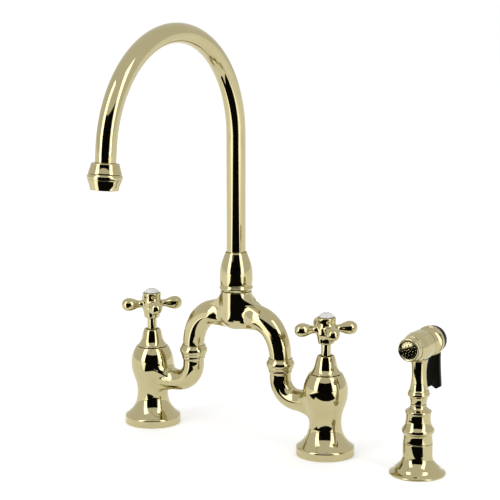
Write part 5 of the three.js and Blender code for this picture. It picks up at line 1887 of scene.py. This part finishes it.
    def lever_outline(self) -> list[Corner]:
        """Returns the lever seen from the front, across from its middle and up.

        Returns:
            The corners.
        """
        narrow, wide = self.lever_halves
        shoulder, foot = self.lever_shoulder, self.lever_foot
        top = []
        for step in range(6, 0, -1):
            angle = TURN / 4 * step / 6
            across = narrow - self.lever_corner * (1 - math.cos(angle))
            top.append((across, self.barrel_height + self.pin_rise + self.lever_corner * math.sin(angle)))
        flare = []
        for step in range(9):
            share = step / 8
            flare.append((narrow + (wide - narrow) * share**1.6, shoulder - (shoulder - foot) * share))
        lobes = []
        for step in range(1, 24):
            across = wide * (1 - step / 12)
            wave = 0.5 - 0.5 * math.cos(TURN * (across / wide + 1))
            lobes.append((across, foot - 1.2 - self.lever_lobe * wave))
        right = top + flare + [(wide, foot - 0.6)]
        left = [(-across, up) for across, up in reversed(right)]
        return outline_of(right, lobes, left)

    def build_lever(self) -> None:
        """Cuts the lever from plate, rounds it and mills the channel down its back."""
        middle, front = self.centre[0], self.centre[1] + self.lever_front
        corners = [(middle + across, up) for across, up in self.lever_outline()]
        plate = drawn("squeeze_lever_moulding", corners, front, self.lever_thickness)
        back = front + self.lever_thickness
        low, high = self.channel_rise
        start = (middle - self.channel_half, back - self.channel_depth, low)
        channel = box_tool(start, (middle + self.channel_half, back + 1, high))
        modify(channel, "BEVEL", width=1.5 * MM, segments=3, limit_method="ANGLE")
        piece = soften(cut(plate, [channel]), 0.55, 40)
        self.finishes.dress(piece, Slot.BLACK_PLASTIC, "lever", "squeeze_lever")

    def build(self) -> None:
        """Builds every piece of the sprayer."""
        self.build_grip()
        self.build_head()
        self.build_face()
        self.build_cap()
        self.build_lever()


# ---------------------------------------------------------------- the studio

WHITE = (1, 1, 1, 1)
Border = tuple[Vector, Vector]


@dataclass(frozen=True)
class Lamp:
    """Soft lamp that faces the object from one and a half metres away.

    The bearing is in degrees from the camera's own, sizes are in metres and power in watts.
    """

    name: str
    bearing: float
    height: float
    width: float
    tall: float
    power: float
    is_reflected: bool = True
    away: float = 1.5
    aim: Place = (0.0, 0.0, 0.2)

    def hang(self, azimuth: float) -> None:
        """Hangs the lamp and turns it to the object.

        Args:
            azimuth: The camera's azimuth in radians.
        """
        angle = azimuth + math.radians(self.bearing)
        place = Vector((math.sin(angle) * self.away, -math.cos(angle) * self.away, self.height))
        aim = (Vector(self.aim) - place).to_track_quat("-Z", "Y").to_euler()
        bpy.ops.object.light_add(type="AREA", location=place, rotation=aim)
        lamp = bpy.context.object
        lamp.name = self.name
        lamp.data.shape = "RECTANGLE"
        lamp.data.size = self.width
        lamp.data.size_y = self.tall
        lamp.data.energy = self.power
        lamp.visible_glossy = self.is_reflected


@dataclass
class Studio:
    """White room with soft lamps and dark cards, and the camera."""

    lens: float = 123.2
    sensor: float = 36.0
    azimuth: float = 0.5651
    pitch: float = 0.1924
    distance: float = 1.6566
    target: Place = (0.01608, -0.00018, 0.19080)
    ambient: float = 0.62
    room: float = 2.4
    dark_turn: float = -4.5
    dark_width: float = 41.5
    dark_top: float = 39.0
    dark_bottom: float = -0.02
    table_edge: float = -0.125
    table_side: float = 0.03
    table_corner: float = 0.181
    left_end: Corner = (-0.12, -0.125)
    right_end: Corner = (0.31, -0.06)
    strip: float = 2.0
    left_strip: Corner = (-3.0, -26.0)
    right_border: float = 58.0
    right_strip: Corner = (66.0, 88.0)
    sheet_lift: float = 0.0006
    floor_size: float = 40.0
    floor_shade: float = 0.93
    floor_near: Corner = (0.4, 0.37)
    floor_far: Corner = (2.5, 0.56)
    card_shade: float = 0.006
    lamps: tuple[Lamp, ...] = (
        Lamp("left_soft_lamp", -53, 0.95, 0.6, 1.9, 8),
        Lamp("right_soft_lamp", 46, 0.95, 0.55, 1.9, 7),
        Lamp("top_soft_lamp", 180, 1.9, 1.2, 1.2, 8, is_reflected=False),
    )

    def build_camera(self) -> None:
        """Places the camera as the photograph's."""
        level = math.cos(self.pitch)
        way = Vector((math.sin(self.azimuth) * level, -math.cos(self.azimuth) * level, math.sin(self.pitch)))
        bpy.ops.object.camera_add(
            location=Vector(self.target) + self.distance * way,
            rotation=(TURN / 4 - self.pitch, 0, self.azimuth),
        )
        camera = bpy.context.object
        camera.name = "photograph_camera"
        camera.data.lens = self.lens
        camera.data.sensor_width = self.sensor
        bpy.context.scene.camera = camera

    def build_world(self) -> None:
        """Makes the world white to the camera and in reflections, and plain soft light elsewhere."""
        world = bpy.data.worlds.new("white_room")
        bpy.context.scene.world = world
        world.use_nodes = True
        world.node_tree.nodes.clear()
        desk = NodeDesk(world.node_tree)
        glow = desk.add("ShaderNodeBackground")
        desk.link(desk.spread(desk.seen(), self.ambient, 1.0), glow.inputs["Strength"])
        desk.link(glow.outputs[0], desk.add("ShaderNodeOutputWorld").inputs["Surface"])

    def paint(self, name: str, colour: float) -> bpy.types.Material:
        """Makes a plain matt grey for the studio's own surfaces.

        Args:
            name: Name of the material.
            colour: Its grey, from 0 to 1.

        Returns:
            The material.
        """
        material = bpy.data.materials.new(name)
        material.use_nodes = True
        shader = material.node_tree.nodes["Principled BSDF"]
        shader.inputs["Base Color"].default_value = (colour, colour, colour, 1)
        shader.inputs["Roughness"].default_value = 1.0
        shader.inputs["Specular IOR Level"].default_value = 0.0
        return material

    def build_floor(self) -> None:
        """Lays the pale floor, lifted a little more towards white the farther it lies."""
        clear_selection()
        bpy.ops.mesh.primitive_plane_add(size=self.floor_size)
        floor = settle(bpy.context.object, "studio_floor")
        material = self.paint("pale_floor", self.floor_shade)
        desk = NodeDesk(material.node_tree)
        shader = material.node_tree.nodes["Principled BSDF"]
        shader.inputs["Emission Color"].default_value = WHITE
        away = desk.add("ShaderNodeVectorMath", operation="LENGTH")
        desk.link(desk.place(), away.inputs[0])
        lift = desk.add("ShaderNodeMapRange")
        lift.inputs["From Min"].default_value, lift.inputs["To Min"].default_value = self.floor_near
        lift.inputs["From Max"].default_value, lift.inputs["To Max"].default_value = self.floor_far
        desk.link(away.outputs["Value"], lift.inputs["Value"])
        shown = desk.combine("MULTIPLY", desk.seen(), lift.outputs["Result"])
        desk.link(shown, shader.inputs["Emission Strength"])
        floor.data.materials.append(material)

    def hide_from_all_but_gloss(self, card: Piece) -> None:
        """Lets a card show only in polished surfaces.

        Args:
            card: The card.
        """
        card.visible_camera = False
        card.visible_diffuse = False
        card.visible_shadow = False
        card.visible_transmission = False

    def build_dark_side(self) -> None:
        """Curves a dark card round the camera's side of the room, up from the floor."""
        clear_selection()
        bpy.ops.mesh.primitive_uv_sphere_add(segments=72, ring_count=36, radius=self.room)
        card = settle(bpy.context.object, "dark_side_of_the_room")
        edit(card)
        room = self.room / MM

        def outside(corner: Vector) -> bool:
            """Says whether a corner lies outside the dark side.

            Args:
                corner: The corner, in millimetres.

            Returns:
                Whether it does.
            """
            bearing = math.atan2(corner.x, -corner.y) - self.azimuth - math.radians(self.dark_turn)
            low = corner.z < self.dark_bottom * room
            high = corner.z > room * math.sin(math.radians(self.dark_top))
            return low or high or abs(math.remainder(bearing, TURN)) > math.radians(self.dark_width)

        pick(outside)
        bpy.ops.mesh.delete(type="VERT")
        done()
        card.data.materials.append(self.paint("dark_room", self.card_shade))
        self.hide_from_all_but_gloss(card)

    def build_sheet(self, name: str, borders: Sequence[Border], material: bpy.types.Material) -> None:
        """Lays a sheet on the table that only the metal reflects.

        Args:
            name: Name of the sheet.
            borders: A point of each border and the direction that leads off the sheet there.
            material: Its paint.
        """
        clear_selection()
        bpy.ops.mesh.primitive_plane_add(size=4 * self.room, location=(0, 0, self.sheet_lift))
        sheet = settle(bpy.context.object, name)
        edit(sheet)
        for point, away in borders:
            bpy.ops.mesh.select_all(action="SELECT")
            bpy.ops.mesh.bisect(plane_co=point, plane_no=away, clear_outer=True)
        done()
        sheet.data.materials.append(material)
        self.hide_from_all_but_gloss(sheet)

    def border(self, start: Corner, bearing: float, side: int) -> Border:
        """Returns a border along a bearing in degrees, off the sheet on one side of it."""
        angle = math.radians(bearing)
        return Vector((*start, 0)), Vector((math.cos(angle), math.sin(angle), 0)) * side

    def build_table(self) -> None:
        """Lays two dark sheets on the table and a bright strip beside each of them."""
        dark = self.paint("dark_sheet", self.card_shade)
        bright = self.paint("bright_sheet", 0.0)
        shader = bright.node_tree.nodes["Principled BSDF"]
        shader.inputs["Emission Color"].default_value = WHITE
        shader.inputs["Emission Strength"].default_value = self.strip
        way = Vector((math.sin(self.azimuth), -math.cos(self.azimuth), 0))
        middle = Vector((self.table_side, 0, 0))
        front = (Vector((0, self.table_edge, 0)), Vector((0, 1, 0)))
        corner = (way * self.table_corner, -way)
        left = self.border(self.left_end, 0, -1)
        right = self.border(self.right_end, self.right_border, 1)
        self.build_sheet("dark_sheet_left", [front, left, (middle, Vector((1, 0, 0)))], dark)
        self.build_sheet("dark_sheet_right", [corner, right, (middle, Vector((-1, 0, 0)))], dark)
        near, far = self.left_strip
        inner, outer = self.border(self.left_end, near, 1), self.border(self.left_end, far, -1)
        self.build_sheet("bright_sheet_left", [front, inner, outer], bright)
        near, far = self.right_strip
        inner, outer = self.border(self.right_end, near, -1), self.border(self.right_end, far, 1)
        self.build_sheet("bright_sheet_right", [inner, outer], bright)

    def build(self) -> None:
        """Builds the whole studio."""
        bpy.context.scene.view_settings.view_transform = "Standard"
        self.build_camera()
        self.build_world()
        self.build_floor()
        for lamp in self.lamps:
            lamp.hang(self.azimuth)
        self.build_dark_side()
        self.build_table()


def build_mounts(finishes: Finishes) -> None:
    """Builds the three mounts below the deck.

    Args:
        finishes: The finishes.
    """
    DeckMount(
        finishes,
        centre=RIGHT,
        names=("right_threaded_shank", "right_base_gasket", "right_clamp_washer", "right_clamp_nut"),
        nodes=("right_mounting_shank", "right_deck_gasket", "right_deck_washer", "right_lock_nut"),
        shank_radius=10.2,
        shank_top=13.7,
        shank_bottom=-55,
        gasket=(24.4, 12.0),
        washer_radius=19,
        nut_reach=17,
        nut_height=9.7,
    ).build(has_twin=True)
    DeckMount(
        finishes,
        centre=SPRAYER,
        names=("", "holder_base_gasket", "holder_clamp_washer", "holder_clamp_nut"),
        nodes=("", "holder_gasket", "holder_washer", "holder_nut"),
        shank_radius=13,
        shank_top=0,
        shank_bottom=-48,
        gasket=(21.5, 14.0),
        washer_radius=22,
        nut_reach=20,
        nut_height=8,
    ).build()


def main() -> None:
    """Builds the studio, the finishes and every sub-assembly."""
    logging.basicConfig(level=logging.INFO, format="%(message)s")
    finishes = Finishes()
    finishes.dress_nodes()
    Studio().build()
    Bridge(finishes).build()
    Spout(finishes).build()
    Valve(finishes).build()
    CrossHandle(finishes).build()
    build_mounts(finishes)
    SprayerHolder(finishes).build()
    Sprayer(finishes).build()
    clear_selection()


if __name__ == "__main__":
    main()
